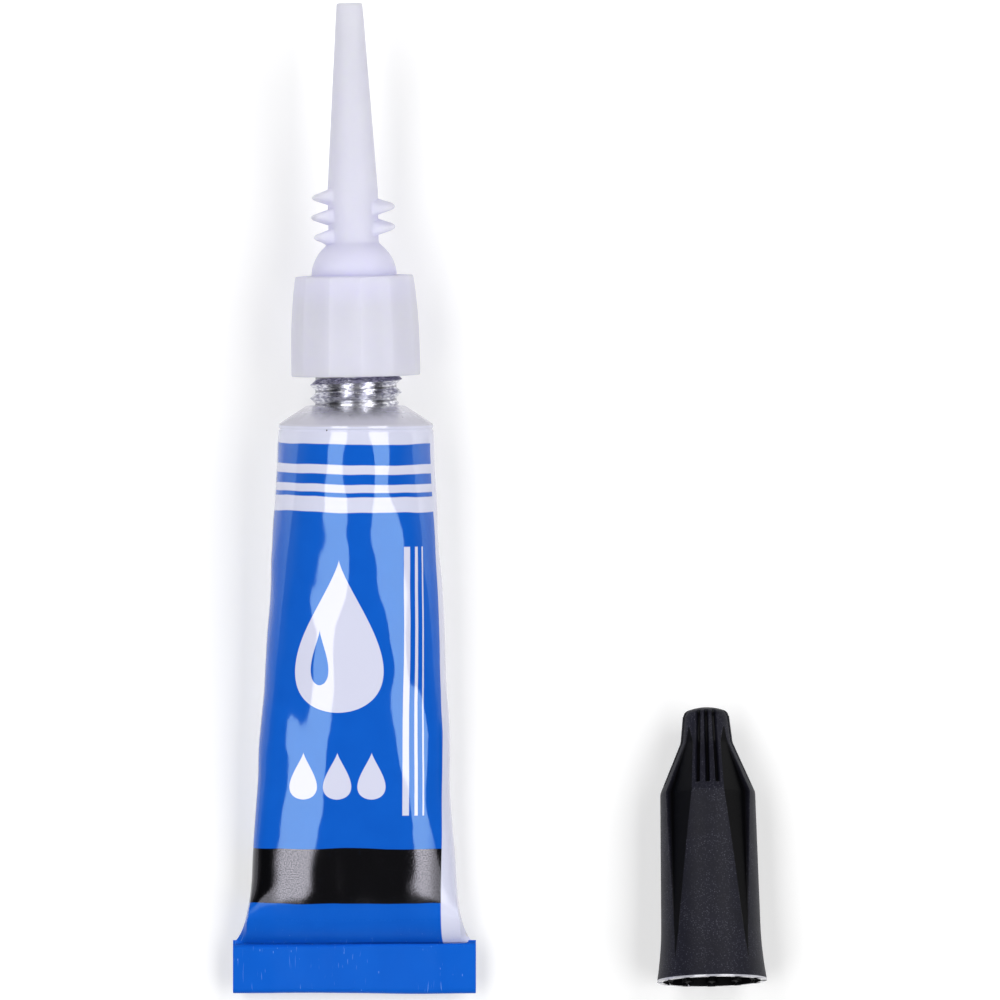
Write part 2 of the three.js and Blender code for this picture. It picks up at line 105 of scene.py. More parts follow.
# Nozzle
EXPOSED_NECK = 2.62
NOZZLE_PLACE = SHOULDER_HEIGHT + EXPOSED_NECK
NOZZLE_LEAN = radians(1.0)
NOZZLE_TRAVEL = 2.3
SCREW_CLEARANCE = 0.3
NECK_BORE_END = NECK_TOP - NOZZLE_TRAVEL - SCREW_CLEARANCE
INNER_THREAD_DEPTH = 0.12
NOZZLE_COLUMNS = 240
SKIRT_BORE = NECK_RADIUS + SCREW_CLEARANCE
SKIRT_RADIUS = SKIRT_BORE + 1.35
SKIRT_HEIGHT = 8.75
SKIRT_DRAFT = 0.48
SKIRT_BARREL_POWER = 2.6
SKIRT_FACETS = 12
SKIRT_FACET_TURN = radians(-24)
SKIRT_EDGE = 0.14
SKIRT_CORNER_LOSS = 0.035
SKIRT_CORNER_ANGLE = radians(3)
SKIRT_CEILING = NECK_TOP - NOZZLE_PLACE + NOZZLE_TRAVEL + SCREW_CLEARANCE
DOME_RADIUS = SKIRT_RADIUS - SKIRT_DRAFT - 1.5
DOME_HEIGHT = DOME_RADIUS - 0.27
DOME_FILLET = 0.12
DOME_HOLLOW = 0.13
SPOUT_LENGTH = 23.8
SPOUT_TIP = SKIRT_HEIGHT + SPOUT_LENGTH
SPOUT_CORE_RADIUS = 2.19
SPOUT_CORE_TOP = 7.55
SPOUT_TIP_RADIUS = 1.13
SPOUT_TIP_EDGE = 0.18
BORE_RADIUS = 0.95
BORE_TOP = SKIRT_HEIGHT + SPOUT_CORE_TOP
ORIFICE_RADIUS = 0.4
ORIFICE_LIP = 0.06
PIERCER_WALL = 0.6
THREAD_DEPTH = 1.49
THREAD_PITCH = 1.77
THREAD_TURNS = 2.25
THREAD_RUN_OUT = 0.2
THREAD_START = radians(-130)
THREAD_HEIGHT = 3.78
CUT_AWAY_ANGLE = radians(46)
FULL_FLIGHT_ANGLE = radians(76)
FLIGHT_FOOT = 0.65  # half widths
FLIGHT_CREST = 0.25
FLIGHTS_START = SKIRT_HEIGHT + 2.45
FLIGHT_ROW_STEP = 0.028

# Cap
CAP_LENGTH = 23.92
CAP_DEPTH = 23.37
CAP_BORE = 3.84
CAP_MOUTH_BORE = 4.30
CAP_MOUTH_RADIUS = 4.82
CAP_RIBS = 12
CAP_RIB_HEIGHT = 0.46
CAP_RIB_LENGTH = 2.6
CAP_RIB_SETBACK = 0.25  # how far the ribs' round ends lie inside the rim
CAP_RIB_END = 0.36
CAP_FLARE = 0.4
CAP_FLARE_LENGTH = 5
CAP_SIDE_TAPER = 0.27
CAP_CORNER = CAP_LENGTH - 7.4
CAP_CORNER_RADIUS = CAP_MOUTH_RADIUS - CAP_FLARE - CAP_SIDE_TAPER
CAP_COLLAR = CAP_LENGTH - 3.0
CAP_COLLAR_RADIUS = 2.29
CAP_TIP_BORE = 1.49
CAP_TIP_RADIUS = 1.99
CAP_TIP_EDGE = 0.6
CAP_TIP_TURN = radians(70)
CAP_CROWN = 0.12
CAP_PIN_LENGTH = 1.0
CAP_PIN_CLEARANCE = 0.12
CAP_CONE_CLEARANCE = 0.36
WING_COUNT = 4
WING_WIDTH = 2.9
WING_TOP_WIDTH = 2.45
RECESS_START = 1.75
RECESS_DEPTH = 0.36
RECESS_WALL = 0.035  # half the width of a recess's steep side
SIDE_RECESS_SHARE = 0.68  # how far a recess reaches towards the left or right wing
RECESS_END = CAP_COLLAR + 1.3
RIM_RINGS = 14
EDGE_RINGS = 3  # rings of the outside that share the rim's smooth finish and its pale painted reflection
FLUTE_COUNT = 3
FLUTE_SPACING = 0.9
FLUTE_TIP_SPACING = 0.68
FLUTE_WIDTH = 0.46
FLUTE_DEPTH = 0.31
FLUTE_START = 0.6

# Print on the sleeve, measured from the shoulder's edge and round the girth from the front's middle
WHITE_BAND_END = 7.45
BLACK_BAND_START = 36.9
BLACK_BAND_END = 41.7
STRIPES = ((1.5, 3.3), (4.1, 5.0), (5.7, 6.1))  # blue, along the sleeve
RULES = ((4.4, 5.0), (5.5, 5.8), (6.25, 6.4))  # white, round the girth
PRINT_EDGE = 0.05
DROP_PEAK = 0.3345  # the greatest of x ** 1.4 * sqrt(1 - x)
PANEL_RIGHT = 8.5  # the plain white back begins here on the right
PANEL_LEFT = PANEL_RIGHT - GIRTH / 2

# Camera, as the photograph was taken: nearly from above, through a long lens
CAMERA_ELEVATION = radians(86.0)
CAMERA_DISTANCE = 3000
CAMERA_TARGET_HEIGHT = 4
FRAME_WIDTH = 1000 / 11.44

# Table, room and lights, with lengths in metres
TABLE_HALF_WIDTH = 3.0
TABLE_GLOW = 0.34
HORIZON_LIGHT = 0.3
OVERHEAD_LIGHT = 0.03
OVERHEAD_START = 0.45
LIGHT_DISTANCE = 1.6
LIGHT_HALF_LENGTH = radians(33)


def smooth(low, high, value):
    """Goes from 0 to 1 as value goes from low to high."""
    share = np.clip((value - low) / (high - low), 0, 1)
    return share * share * (3 - 2 * share)


def blend(a, b, share):
    return a + (b - a) * share


def round_angles(count):
    """Evenly spaced angles that start at the back and go round by the left and the front."""
    return -pi + TURN * np.arange(count) / count


def ring(radius, y, angles):
    """A ring of points about the Y axis."""
    return np.stack([radius * np.sin(angles), y + 0 * angles, radius * np.cos(angles)], -1)


def lathe(profile, angles):
    """Rings for pairs of a radius and a height."""
    return [ring(radius, y, angles) for radius, y in profile]


def straight(start, end, count):
    """Pairs from start to end, without the first."""
    shares = np.linspace(0, 1, count)[1:]
    return [(blend(start[0], end[0], share), blend(start[1], end[1], share)) for share in shares]


def rounded(centre, across, up):
    """Pairs round a quarter of a circle, from above or below its centre to beside it."""
    return [(centre[0] + across * sin(step), centre[1] + up * cos(step)) for step in EDGE_STEPS]


def ripples(u, v, length, seed, waves=28):
    """Smooth random field of about that wavelength, mostly within -1 to 1, which repeats round the girth."""
    dice = np.random.default_rng(seed)
    total = 0
    for _ in range(waves):
        heading = dice.uniform(0, TURN)
        number = TURN / (length * dice.uniform(0.75, 1.6))
        round_number = round(number * cos(heading) * GIRTH / TURN) * TURN / GIRTH
        total = total + np.cos(u * round_number + v * number * sin(heading) + dice.uniform(0, TURN))
    return total * sqrt(1 / waves)


def swelling(u, v, swells):
    """The sum of some fields of ripples."""
    return sum(height * ripples(u, v, length, seed) for height, length, seed in swells)


# Places of the pieces' own frames

mounts = {mount["name"]: mount for mount in frame["record"]["mounts"]}
joints = {joint["name"]: joint for joint in frame["joints"]}


def placing(point, seen_at, across, along, front):
    """Matrix from a piece's own frame in millimetres, in which seen_at lies at that point, in metres."""
    turn = Matrix((across, along, front)).transposed().to_4x4() @ Matrix.Scale(MM, 4)
    return Matrix.Translation(Vector(point) - turn @ Vector(seen_at)) @ turn


def tube_placing():
    along = Vector(joints["nozzle_screw"]["axis"])
    front = Vector(mounts["fold_face"]["axis"])
    face = (0, -SLEEVE_LENGTH - FOLD_HEIGHT / 2, 2 * FOLD_LAYER + TUBE_WALL)
    return placing(mounts["fold_face"]["pos_m"], face, along.cross(front), along, front)


def cap_placing():
    along = -Vector(mounts["cap_mouth"]["axis"])
    across = Vector((along.y, -along.x, 0)).normalized()
    rim = (CAP_MOUTH_BORE + CAP_MOUTH_RADIUS) / 2
    between_ribs = pi / CAP_RIBS
    face = (rim * sin(between_ribs), 0, rim * cos(between_ribs))
    return placing(mounts["cap_mouth"]["pos_m"], face, across, along, across.cross(along))


TUBE_PLACE = tube_placing()
NOZZLE_PLACING = TUBE_PLACE @ Matrix.Translation((0, NOZZLE_PLACE, 0))
NOZZLE_PLACING = NOZZLE_PLACING @ Matrix.Rotation(NOZZLE_LEAN, 4, "Z")
CAP_PLACE = cap_placing()


# Meshes

def ring_faces(count, around, closed):
    """Quads between neighbouring rings, and each corner's ring and column. The last column is the seam."""
    row = np.arange(count if closed else count - 1)[:, None] + np.zeros(around, int)
    column = np.arange(around)[None, :] + np.zeros((len(row), 1), int)
    rows = np.stack([row, row, row + 1, row + 1], -1).reshape(-1, 4)
    columns = np.stack([column, column + 1, column + 1, column], -1).reshape(-1, 4)
    return (rows % count) * around + columns % around, rows, columns


def fan_faces(around, first, pole):
    """Triangles between one ring and a pole."""
    spots = np.arange(around)
    return np.stack([first + (spots + 1) % around, first + spots, np.full(around, pole)], -1)


def volume_sign(points, quads):
    """Positive where the quads look outwards."""
    total = 0
    for corners in ((0, 1, 2), (0, 2, 3)):
        a, b, c = (points[quads[:, i]] for i in corners)
        total += np.einsum("ij,ij->i", a, np.cross(b, c)).sum()
    return total


def skinned(name, rings, place, materials, poles=None, uv=None, sharp=40, flat_ends=False):
    """A smooth piece over rings of equally many points. It ends in two poles or flats, or closes on itself.

    uv has one pair for each ring and column, with one column more at the seam.
    """
    rings = np.asarray(rings, float)
    count, around = rings.shape[:2]
    points = rings.reshape(-1, 3)
    quads, rows, columns = ring_faces(count, around, poles is None and not flat_ends)
    ends = np.zeros((0, 3), int)
    if flat_ends:
        last = len(points) - around
        ends = np.stack([np.arange(around)[::-1], last + np.arange(around)])
    elif poles is not None:
        low = fan_faces(around, 0, len(points))
        high = fan_faces(around, (count - 1) * around, len(points) + 1)[:, ::-1]
        ends = np.concatenate([low, high])
        points = np.concatenate([points, np.asarray(poles, float)])
    if volume_sign(points - points.mean(0), quads) < 0:
        quads, rows, columns, ends = (x[:, ::-1] for x in (quads, rows, columns, ends))
    world = points @ np.array(place.to_3x3()).T + np.array(place.translation)
    mesh = bpy.data.meshes.new(name)
    mesh.from_pydata(world.tolist(), [], quads.tolist() + ends.tolist())
    if uv is not None:
        end_places = np.repeat(uv[[0, 0 if flat_ends else -1], 0], ends.size // 2, axis=0)
        corners = np.concatenate([uv[rows, columns].reshape(-1, 2), end_places])
        mesh.uv_layers.new(name="Print").data.foreach_set("uv", corners.astype(np.float32).ravel())
    mesh.polygons.foreach_set("use_smooth", [True] * len(mesh.polygons))
    mesh.set_sharp_from_angle(angle=radians(sharp))
    mesh.validate()
    for material in materials:
        mesh.materials.append(material)
    return placed(name, mesh)


def placed(name, data):
    """A new object in the scene."""
    made = bpy.data.objects.new(name, data)
    scene.collection.objects.link(made)
    return made


# Tube, and what is in it

def sleeve_points(distances, angles, inset=0.0, creases=1.0):
    """The flattened sleeve at distances from the shoulder's edge, as rings of points."""
    away = distances[:, None]
    share = away / SLEEVE_LENGTH
    flat = EVEN_FLATTENING * share + (1 - EVEN_FLATTENING) * share ** PINCH_POWER
    half_width = blend(TUBE_RADIUS, FLAT_HALF_WIDTH, flat) - inset
    half_thickness = blend(TUBE_RADIUS, TUBE_WALL, flat) - inset
    across = np.sin(angles)[None, :]
    spread = (3 * across - across ** 3) / 2
    x = half_thickness * across + (half_width - half_thickness) * spread
    z = half_thickness * np.cos(angles)[None, :]
    gusset_width = np.maximum(half_width - GUSSET_CREASE, 0.12)
    panel = half_thickness * np.clip((half_width - np.abs(x)) / gusset_width, 0, 1)
    creased = creases * smooth(GUSSET_START, GUSSET_END, away)
    z = np.sign(z) * blend(np.abs(z), panel, creased)
    x = x - LOWER_LEAN * smooth(LEAN_START, LEAN_END, away)
    return np.stack([x, -away + 0 * x, z], -1)


def girth_places(points):
    """Lengths round each ring from the front's middle, which is positive to the right."""
    around = points.shape[1]
    steps = np.linalg.norm(np.roll(points, -1, 1) - points, axis=2)
    total = steps.sum(1, keepdims=True)
    lengths = np.concatenate([np.zeros((len(points), 1)), np.cumsum(steps, 1)], 1) * GIRTH / total
    return lengths - lengths[:, around // 2, None]


def surface_normals(points):
    around = np.roll(points, -1, 1) - np.roll(points, 1, 1)
    along = np.gradient(points, axis=0)
    normal = np.cross(around, along)
    normal /= np.linalg.norm(normal, axis=2, keepdims=True) + 1e-12
    outward = np.sign((normal * points * (1, 0, 1)).sum(2, keepdims=True))
    return normal * outward


def pillows(u, v, wide, long, seed):
    """Shallow bowls that meet at creases, one to each cell of an uneven net, from 0 to about 0.5."""
    dice = np.random.default_rng(seed)
    columns = round(GIRTH / wide)
    nearest = 9.0 + 0 * u
    for row in range(ceil(SLEEVE_LENGTH / long) + 2):
        for column in range(columns):
            across = (column + dice.uniform(0.1, 0.9)) * GIRTH / columns
            along = (row - 0.5 + dice.uniform(-0.4, 0.4)) * long
            beside = (u - across + GIRTH / 2) % GIRTH - GIRTH / 2
            nearest = np.minimum(nearest, (beside / wide) ** 2 + ((v - along) / long) ** 2)
    return np.minimum(nearest, 0.6)


# Each swell of the wall or fold: height, wavelength, seed
SWELLS = ((0.055, 9.0, 5), (0.017, 4.2, 8))
FOLD_SWELLS = ((0.035, 6.0, 31), (0.02, 2.4, 33))
PILLOW_HEIGHT = 0.14
PILLOW_WIDTH = 4.6
PILLOW_LENGTH = 9.0
# Each dent: girth place, distance from the shoulder, half length, half width, tilt in degrees, height
DENTS = (
    (-3.2, 13.0, 7.0, 1.6, -12, -0.10),
    (-5.6, 24.0, 8.0, 1.8, 4, -0.16),
    (-2.4, 31.0, 6.5, 1.5, -3, 0.10),
    (-4.0, 39.0, 3.4, 1.8, 14, 0.18),
    (2.8, 9.6, 1.3, 0.9, 0, -0.06),
    (3.6, 17.5, 5.5, 1.8, 18, 0.12),
    (5.4, 24.5, 6.0, 1.5, 6, -0.12),
    (6.0, 35.0, 6.0, 1.6, -4, 0.10),
    (0.4, 34.0, 9.0, 2.6, 0, -0.10),
    (-1.8, 3.4, 2.4, 1.4, 25, 0.05),
    (2.6, 4.2, 3.0, 1.5, -28, 0.06),
)


def dented(girth, distances):
    """How far the soft wall stands out from its even shape."""
    away = distances[:, None] + 0 * girth
    total = swelling(girth, away, SWELLS)
    total = total + PILLOW_HEIGHT * (pillows(girth, away, PILLOW_WIDTH, PILLOW_LENGTH, 14) - 0.25)
    for place, distance, length, width, tilt, height in DENTS:
        turn = radians(tilt)
        beside, beyond = girth - place, away - distance
        along = beside * sin(turn) + beyond * cos(turn)
        across = beside * cos(turn) - beyond * sin(turn)
        total = total + height * np.exp(-((along / length) ** 2) - (across / width) ** 2)
    on_back = smooth(0.30, 0.42, np.abs(girth) / GIRTH)
    total = blend(total, np.minimum(total, 0) * 0.5, on_back)
    edge_groove = EDGE_GROOVE_DEPTH * np.exp(-(((away - EDGE_GROOVE) / EDGE_GROOVE_WIDTH) ** 2))
    by_shoulder = smooth(0.4, 2.4, away)
    by_fold = 1 - smooth(41.0, 44.8, away)
    return total * by_shoulder * by_fold - edge_groove


def dented_sleeve(low, high, count, angles, inset=0.0):
    """The sleeve's rings, their places round the girth, and their distances, crowded towards the fold."""
    distances = blend(low, high, 1 - (1 - np.linspace(0, 1, count)) ** 1.25)
    if low == 0:
        distances = np.concatenate([np.arange(0, 0.8, 0.05), distances[distances > 0.8]])
    points = sleeve_points(distances, angles, inset)
    girth = girth_places(sleeve_points(distances, angles, inset, 0.0))
    heights = dented(girth[:, :-1], distances)
    return points + surface_normals(points) * heights[:, :, None], girth, distances


def thread_rise(angles, y, pitch, depth):
    """A narrow screw thread's height over its root."""
    turned = (y / pitch - angles / TURN) % 1
    return depth * np.maximum(1 - np.abs(turned - 0.5) / 0.4, 0) ** 1.2


def shoulder_profile():
    """Pairs from the shoulder's rounded edge up to the foot of the neck."""
    edge = []
    for angle in np.linspace(0, radians(50), 6)[1:]:
        radius = TUBE_RADIUS - 0.002 - SHOULDER_EDGE * (1 - cos(angle))
        edge.append((radius, SHOULDER_EDGE * sin(angle)))
    slope = straight(edge[-1], (NECK_RADIUS + NECK_STEP, SHOULDER_HEIGHT), 20)
    foot = [(NECK_RADIUS + 0.12, SHOULDER_HEIGHT + 0.02), (NECK_ROOT + 0.06, SHOULDER_HEIGHT + 0.06)]
    return edge + slope + foot


def shoulder_rings(angles):
    """Rings over the shoulder, and how far each lies before the sleeve, as negative lengths."""
    edge_wave = np.clip(0.03 * ripples(angles * TUBE_RADIUS, 0 * angles, 7.0, 21), -0.04, 0)
    rings, lengths = [], []
    length, radius, height = 0.0, TUBE_RADIUS, 0.0
    for next_radius, next_height in shoulder_profile():
        length -= hypot(next_radius - radius, next_height - height)
        radius, height = next_radius, next_height
        settled = 1 - smooth(0.1, 0.9, height)
        rings.append(ring(radius, height + edge_wave * settled, angles))
        lengths.append(length)
    lengths[-1] = NECK_MARK - SHOULDER_HEIGHT
    return rings, lengths


def neck_rings(angles):
    """Rings up the threaded neck, over its end and down its bore, and their heights as print places."""
    profile, lengths = [], []
    for y in np.arange(SHOULDER_HEIGHT + 0.1, NECK_TOP - 0.15, 0.04):
        begun = smooth(SHOULDER_HEIGHT, SHOULDER_HEIGHT + 0.35, y)
        runs_out = begun * (1 - smooth(NECK_TOP - 0.6, NECK_TOP - 0.15, y))
        rise = thread_rise(angles + NECK_THREAD_TURN, y, NECK_THREAD_PITCH, NECK_THREAD_DEPTH)
        profile.append((NECK_ROOT + rise * runs_out, y))
        lengths.append(NECK_MARK - y)
    end = [(NECK_ROOT - 0.02, NECK_TOP - 0.06), (NECK_ROOT - 0.09, NECK_TOP - 0.01)]
    end += [(NECK_ROOT - 0.2, NECK_TOP)]
    end += [(NECK_BORE + 0.08, NECK_TOP), (NECK_BORE, NECK_TOP - 0.06), (NECK_BORE, NECK_BORE_END)]
    for _ in end:
        lengths.append(lengths[-1] - 0.05)
    return lathe(profile + end, angles), lengths


def make_tube_skin():
    angles = round_angles(TUBE_COLUMNS)
    sleeve, girth, distances = dented_sleeve(0, SLEEVE_LENGTH, SLEEVE_ROWS, angles)
    shoulder, shoulder_lengths = shoulder_rings(angles)
    neck, neck_lengths = neck_rings(angles)
    rings = [*sleeve[::-1], *shoulder, *neck]
    lengths = np.array([*distances[::-1], *shoulder_lengths, *neck_lengths])
    columns = girth[-1 - np.minimum(np.arange(len(rings)), len(girth) - 1)]
    uv = np.stack([columns, lengths[:, None] + 0 * columns], -1)
    poles = [(0, -SLEEVE_LENGTH, 0), (0, NECK_BORE_END, 0)]
    piece = skinned("tube_skin", rings, TUBE_PLACE, [printed_lacquer(), bare_aluminium()], poles, uv)
    bare = np.zeros(len(piece.data.polygons), int)
    neck_start = len(sleeve) + len(shoulder) - 1
    bare[neck_start * TUBE_COLUMNS:(len(rings) - 1) * TUBE_COLUMNS] = 1
    bare[-TUBE_COLUMNS:] = 1
    piece.data.polygons.foreach_set("material_index", bare)
    return piece


def fold_outline(side):
    """The rolled strip's faces as (y, z) points, on one side of its middle."""
    strip = 2 * TUBE_WALL
    top = -SLEEVE_LENGTH
    low = top - FOLD_HEIGHT + FOLD_LAYER + strip / 2
    high = top - FOLD_LAYER / 2 - strip / 2
    points = [(y, -side) for y in np.linspace(top + strip, low, 12)[:-1]]
    for angle in np.linspace(1.5 * pi, 0.5 * pi, 13):
        reach = FOLD_LAYER + side
        points.append((low + reach * cos(angle), FOLD_LAYER + reach * sin(angle)))
    points += [(y, 2 * FOLD_LAYER + side) for y in np.linspace(low, high, 14)[1:-1]]
    for angle in np.linspace(0.5 * pi, -0.5 * pi, 11):
        reach = FOLD_LAYER / 2 + side
        points.append((high + reach * cos(angle), 1.5 * FOLD_LAYER + reach * sin(angle)))
    points += [(y, FOLD_LAYER - side) for y in np.linspace(high, low + 0.06, 12)[1:]]
    return np.array(points)


def fold_rings(places, thinnings):
    """The rolled strip's outline at places across it, slightly uneven, and thinner at its two ends."""
    rings = []
    for x, thin in zip(places, thinnings):
        outline = np.concatenate([fold_outline(TUBE_WALL * thin), fold_outline(-TUBE_WALL * thin)[::-1]])
        y, z = outline[:, 0], outline[:, 1]
        front = smooth(0.3, 0.8, z)
        low = smooth(-SLEEVE_LENGTH - 1.5, -SLEEVE_LENGTH - FOLD_HEIGHT, y)
        lift = swelling(x + 0 * y, y, FOLD_SWELLS)
        z = z + np.minimum(lift, 0.02) * front
        y = y + low * 0.06 * np.clip(1 + 0.6 * ripples(np.array(x), 0.0, 9.0, 35), 0, 2)
        y = y + front * (1 - low) * (FOLD_SLANT * x - 0.03 * ripples(np.array(x), 3.0, 11.0, 37))
        rings.append(np.stack([x + 0 * y, y, z], -1))
    return np.array(rings)


def make_fold():
    inwards, thinning = np.array(FOLD_ENDS).T
    middle = np.linspace(0.12 - FOLD_LEFT, FOLD_RIGHT - 0.12, 120)
    places = np.concatenate([inwards - FOLD_LEFT, middle, FOLD_RIGHT - inwards[::-1]])
    rings = fold_rings(places, [*thinning, *np.ones(len(middle)), *thinning[::-1]])
    around = rings.shape[1]
    lengths = SLEEVE_LENGTH + 1 + np.arange(around + 1) * 0.1 + 0 * places[:, None]
    uv = np.stack([places[:, None] + 0 * lengths, lengths], -1)
    materials = [bpy.data.materials["printed_lacquer"]]
    return skinned("tube_fold", rings, TUBE_PLACE, materials, uv=uv, flat_ends=True)


def make_membrane():
    """Thin closed end of the neck, slightly dished, with a scored ring."""
    edge = NECK_BORE - 0.01
    profile = [(radius, MEMBRANE_BACK) for radius in np.linspace(0.15, edge, 6)]
    for radius in np.linspace(edge, 0.15, 26):
        score = SCORE_DEPTH * exp(-(((radius - SCORE_RADIUS) / SCORE_WIDTH) ** 2))
        profile.append((radius, MEMBRANE_FACE - MEMBRANE_DISH * (1 - (radius / edge) ** 2) - score))
    rings = lathe(profile, round_angles(INNER_COLUMNS))
    poles = [(0, MEMBRANE_BACK, 0), (0, MEMBRANE_FACE - MEMBRANE_DISH, 0)]
    return skinned("membrane", rings, TUBE_PLACE, [bpy.data.materials["bare_aluminium"]], poles)


def make_glue():
    """The liquid, which follows the dents of the wall round it."""
    angles = round_angles(INNER_COLUMNS)
    points, _, distances = dented_sleeve(GLUE_START, GLUE_END, 90, angles, GLUE_INSET)
    poles = [(0, -distances[0], 0), (0, -distances[-1], 0)]
    return skinned("glue", points, TUBE_PLACE, [clear_adhesive()], poles)


# Nozzle

def skirt_radius(angles, rise):
    """Twelve flats with softened corners, which curve in towards the top."""
    step = TURN / SKIRT_FACETS
    off = (angles - SKIRT_FACET_TURN + step / 2) % step - step / 2
    corner = SKIRT_RADIUS - SKIRT_DRAFT * rise ** SKIRT_BARREL_POWER
    flats = corner * cos(step / 2) / np.cos(step / 2 - np.abs(off))
    return flats - SKIRT_CORNER_LOSS * np.exp(-((off / SKIRT_CORNER_ANGLE) ** 2))


def flight_rise(angles, y):
    """How far the coarse thread stands out of the spout's core, at one height above the skirt's foot."""
    sideways = smooth(sin(CUT_AWAY_ANGLE), sin(FULL_FLIGHT_ANGLE), np.abs(np.sin(angles)))
    total = 0 * angles
    for turn in range(-1, ceil(THREAD_TURNS) + 1):
        turned = (angles - THREAD_START) / TURN + turn
        run_out = np.clip(np.minimum(turned, THREAD_TURNS - turned) / THREAD_RUN_OUT, 0, 1)
        middle = SKIRT_HEIGHT + THREAD_HEIGHT + THREAD_PITCH * (THREAD_START / TURN + turned)
        away = np.abs(y - middle)
        crest = THREAD_DEPTH - FLIGHT_CREST * np.minimum(away / FLIGHT_CREST, 1) ** 2
        flank = np.clip((FLIGHT_FOOT - away) / (FLIGHT_FOOT - FLIGHT_CREST), 0, 1)
        total = np.maximum(total, np.sin(run_out * pi / 2) * sideways * crest * flank)
    return total


def spout_radius(y):
    """Dome, core and tapered spout, with a soft hollow where the core leaves the dome."""
    above = y - SKIRT_HEIGHT
    dome = DOME_RADIUS * sqrt(max(1 - (above / DOME_HEIGHT) ** 2, 0))
    taper = max(above - SPOUT_CORE_TOP, 0) / (SPOUT_LENGTH - SPOUT_CORE_TOP)
    core = blend(SPOUT_CORE_RADIUS, SPOUT_TIP_RADIUS, taper)
    return core + DOME_HOLLOW * log1p(exp(min((dome - core) / DOME_HOLLOW, 50)))


def skirt_profile(angles):
    """The skirt's outside, from its rounded foot to the foot of the dome."""
    foot, top = skirt_radius(angles, 0.0), skirt_radius(angles, 1.0)
    edge, dome_foot = SKIRT_EDGE, DOME_RADIUS + DOME_FILLET
    profile = rounded((foot - edge, edge), edge, -edge)
    for y in np.linspace(edge, SKIRT_HEIGHT - edge, 30)[1:-1]:
        profile.append((skirt_radius(angles, y / SKIRT_HEIGHT), y))
    profile += rounded((top - edge, SKIRT_HEIGHT - edge), edge, edge)[::-1]
    profile += straight((top - edge, SKIRT_HEIGHT), (dome_foot, SKIRT_HEIGHT), 9)[:-1]
    return profile + rounded((dome_foot, SKIRT_HEIGHT + DOME_FILLET), -DOME_FILLET, -DOME_FILLET)


def spout_profile(angles):
    """The dome, the coarse thread, and the spout with its rounded tip and the lip of its orifice."""
    threaded = np.arange(FLIGHTS_START, BORE_TOP + 0.2, FLIGHT_ROW_STEP)
    plain = np.linspace(SKIRT_HEIGHT + DOME_FILLET, threaded[0], 36)[1:-1]
    taper = np.linspace(threaded[-1], SPOUT_TIP - SPOUT_TIP_EDGE, 44)[1:-1]
    heights = (*plain, *threaded, *taper)
    profile = [(spout_radius(y) + flight_rise(angles, y), y) for y in heights]
    flat = SPOUT_TIP_RADIUS - SPOUT_TIP_EDGE
    lip = ORIFICE_RADIUS + ORIFICE_LIP
    profile += rounded((flat, SPOUT_TIP - SPOUT_TIP_EDGE), SPOUT_TIP_EDGE, SPOUT_TIP_EDGE)[::-1]
    profile += straight((flat, SPOUT_TIP), (lip, SPOUT_TIP), 6)
    return profile + rounded((lip, SPOUT_TIP - ORIFICE_LIP), -ORIFICE_LIP, ORIFICE_LIP)[1:]


def nozzle_bore_profile(angles):
    """Down through the bore, round the piercer, and out through the threaded skirt."""
    piercer_tip = NECK_TOP - NOZZLE_PLACE + SCREW_CLEARANCE
    piercer_foot = (BORE_RADIUS + PIERCER_WALL, SKIRT_CEILING)
    profile = straight((ORIFICE_RADIUS, SPOUT_TIP - ORIFICE_LIP), (BORE_RADIUS, BORE_TOP), 20)
    profile += straight((BORE_RADIUS, BORE_TOP), (BORE_RADIUS, piercer_tip), 16)
    profile += straight((BORE_RADIUS + 0.05, piercer_tip), piercer_foot, 8)
    profile += straight(piercer_foot, (SKIRT_BORE, SKIRT_CEILING), 8)
    for y in np.arange(SKIRT_CEILING - 0.06, 0.1, -0.06):
        runs_out = smooth(0.2, 0.8, y) * (1 - smooth(SKIRT_CEILING - 0.9, SKIRT_CEILING - 0.3, y))
        inner_thread = thread_rise(angles, y, NECK_THREAD_PITCH, INNER_THREAD_DEPTH) * runs_out
        profile.append((SKIRT_BORE - inner_thread, y))
    return profile + [(SKIRT_BORE + 0.06, 0.02), (SKIRT_BORE + 0.1, 0.0)]


def make_nozzle():
    angles = round_angles(NOZZLE_COLUMNS)
    profile = skirt_profile(angles) + spout_profile(angles) + nozzle_bore_profile(angles)
    return skinned("nozzle_moulding", lathe(profile, angles), NOZZLE_PLACING, [natural_polyethylene()])


# Cap

def cap_radius(height):
    """The cap's round outside, with its corners slightly rounded."""
    flare = np.linspace(0, CAP_FLARE_LENGTH, 24)
    straight = CAP_MOUTH_RADIUS - CAP_FLARE - CAP_SIDE_TAPER * flare / CAP_CORNER
    heights = [*flare, CAP_CORNER, CAP_COLLAR, CAP_LENGTH]
    radii = [*(straight + CAP_FLARE * (1 - flare / CAP_FLARE_LENGTH) ** 2)]
    radii += [CAP_CORNER_RADIUS, CAP_COLLAR_RADIUS, CAP_TIP_RADIUS - 0.02]
    rounding = np.array([-0.16, -0.08, 0.0, 0.08, 0.16]) * smooth(0, 0.4, height)
    return float(np.interp(height + rounding, heights, radii).mean())


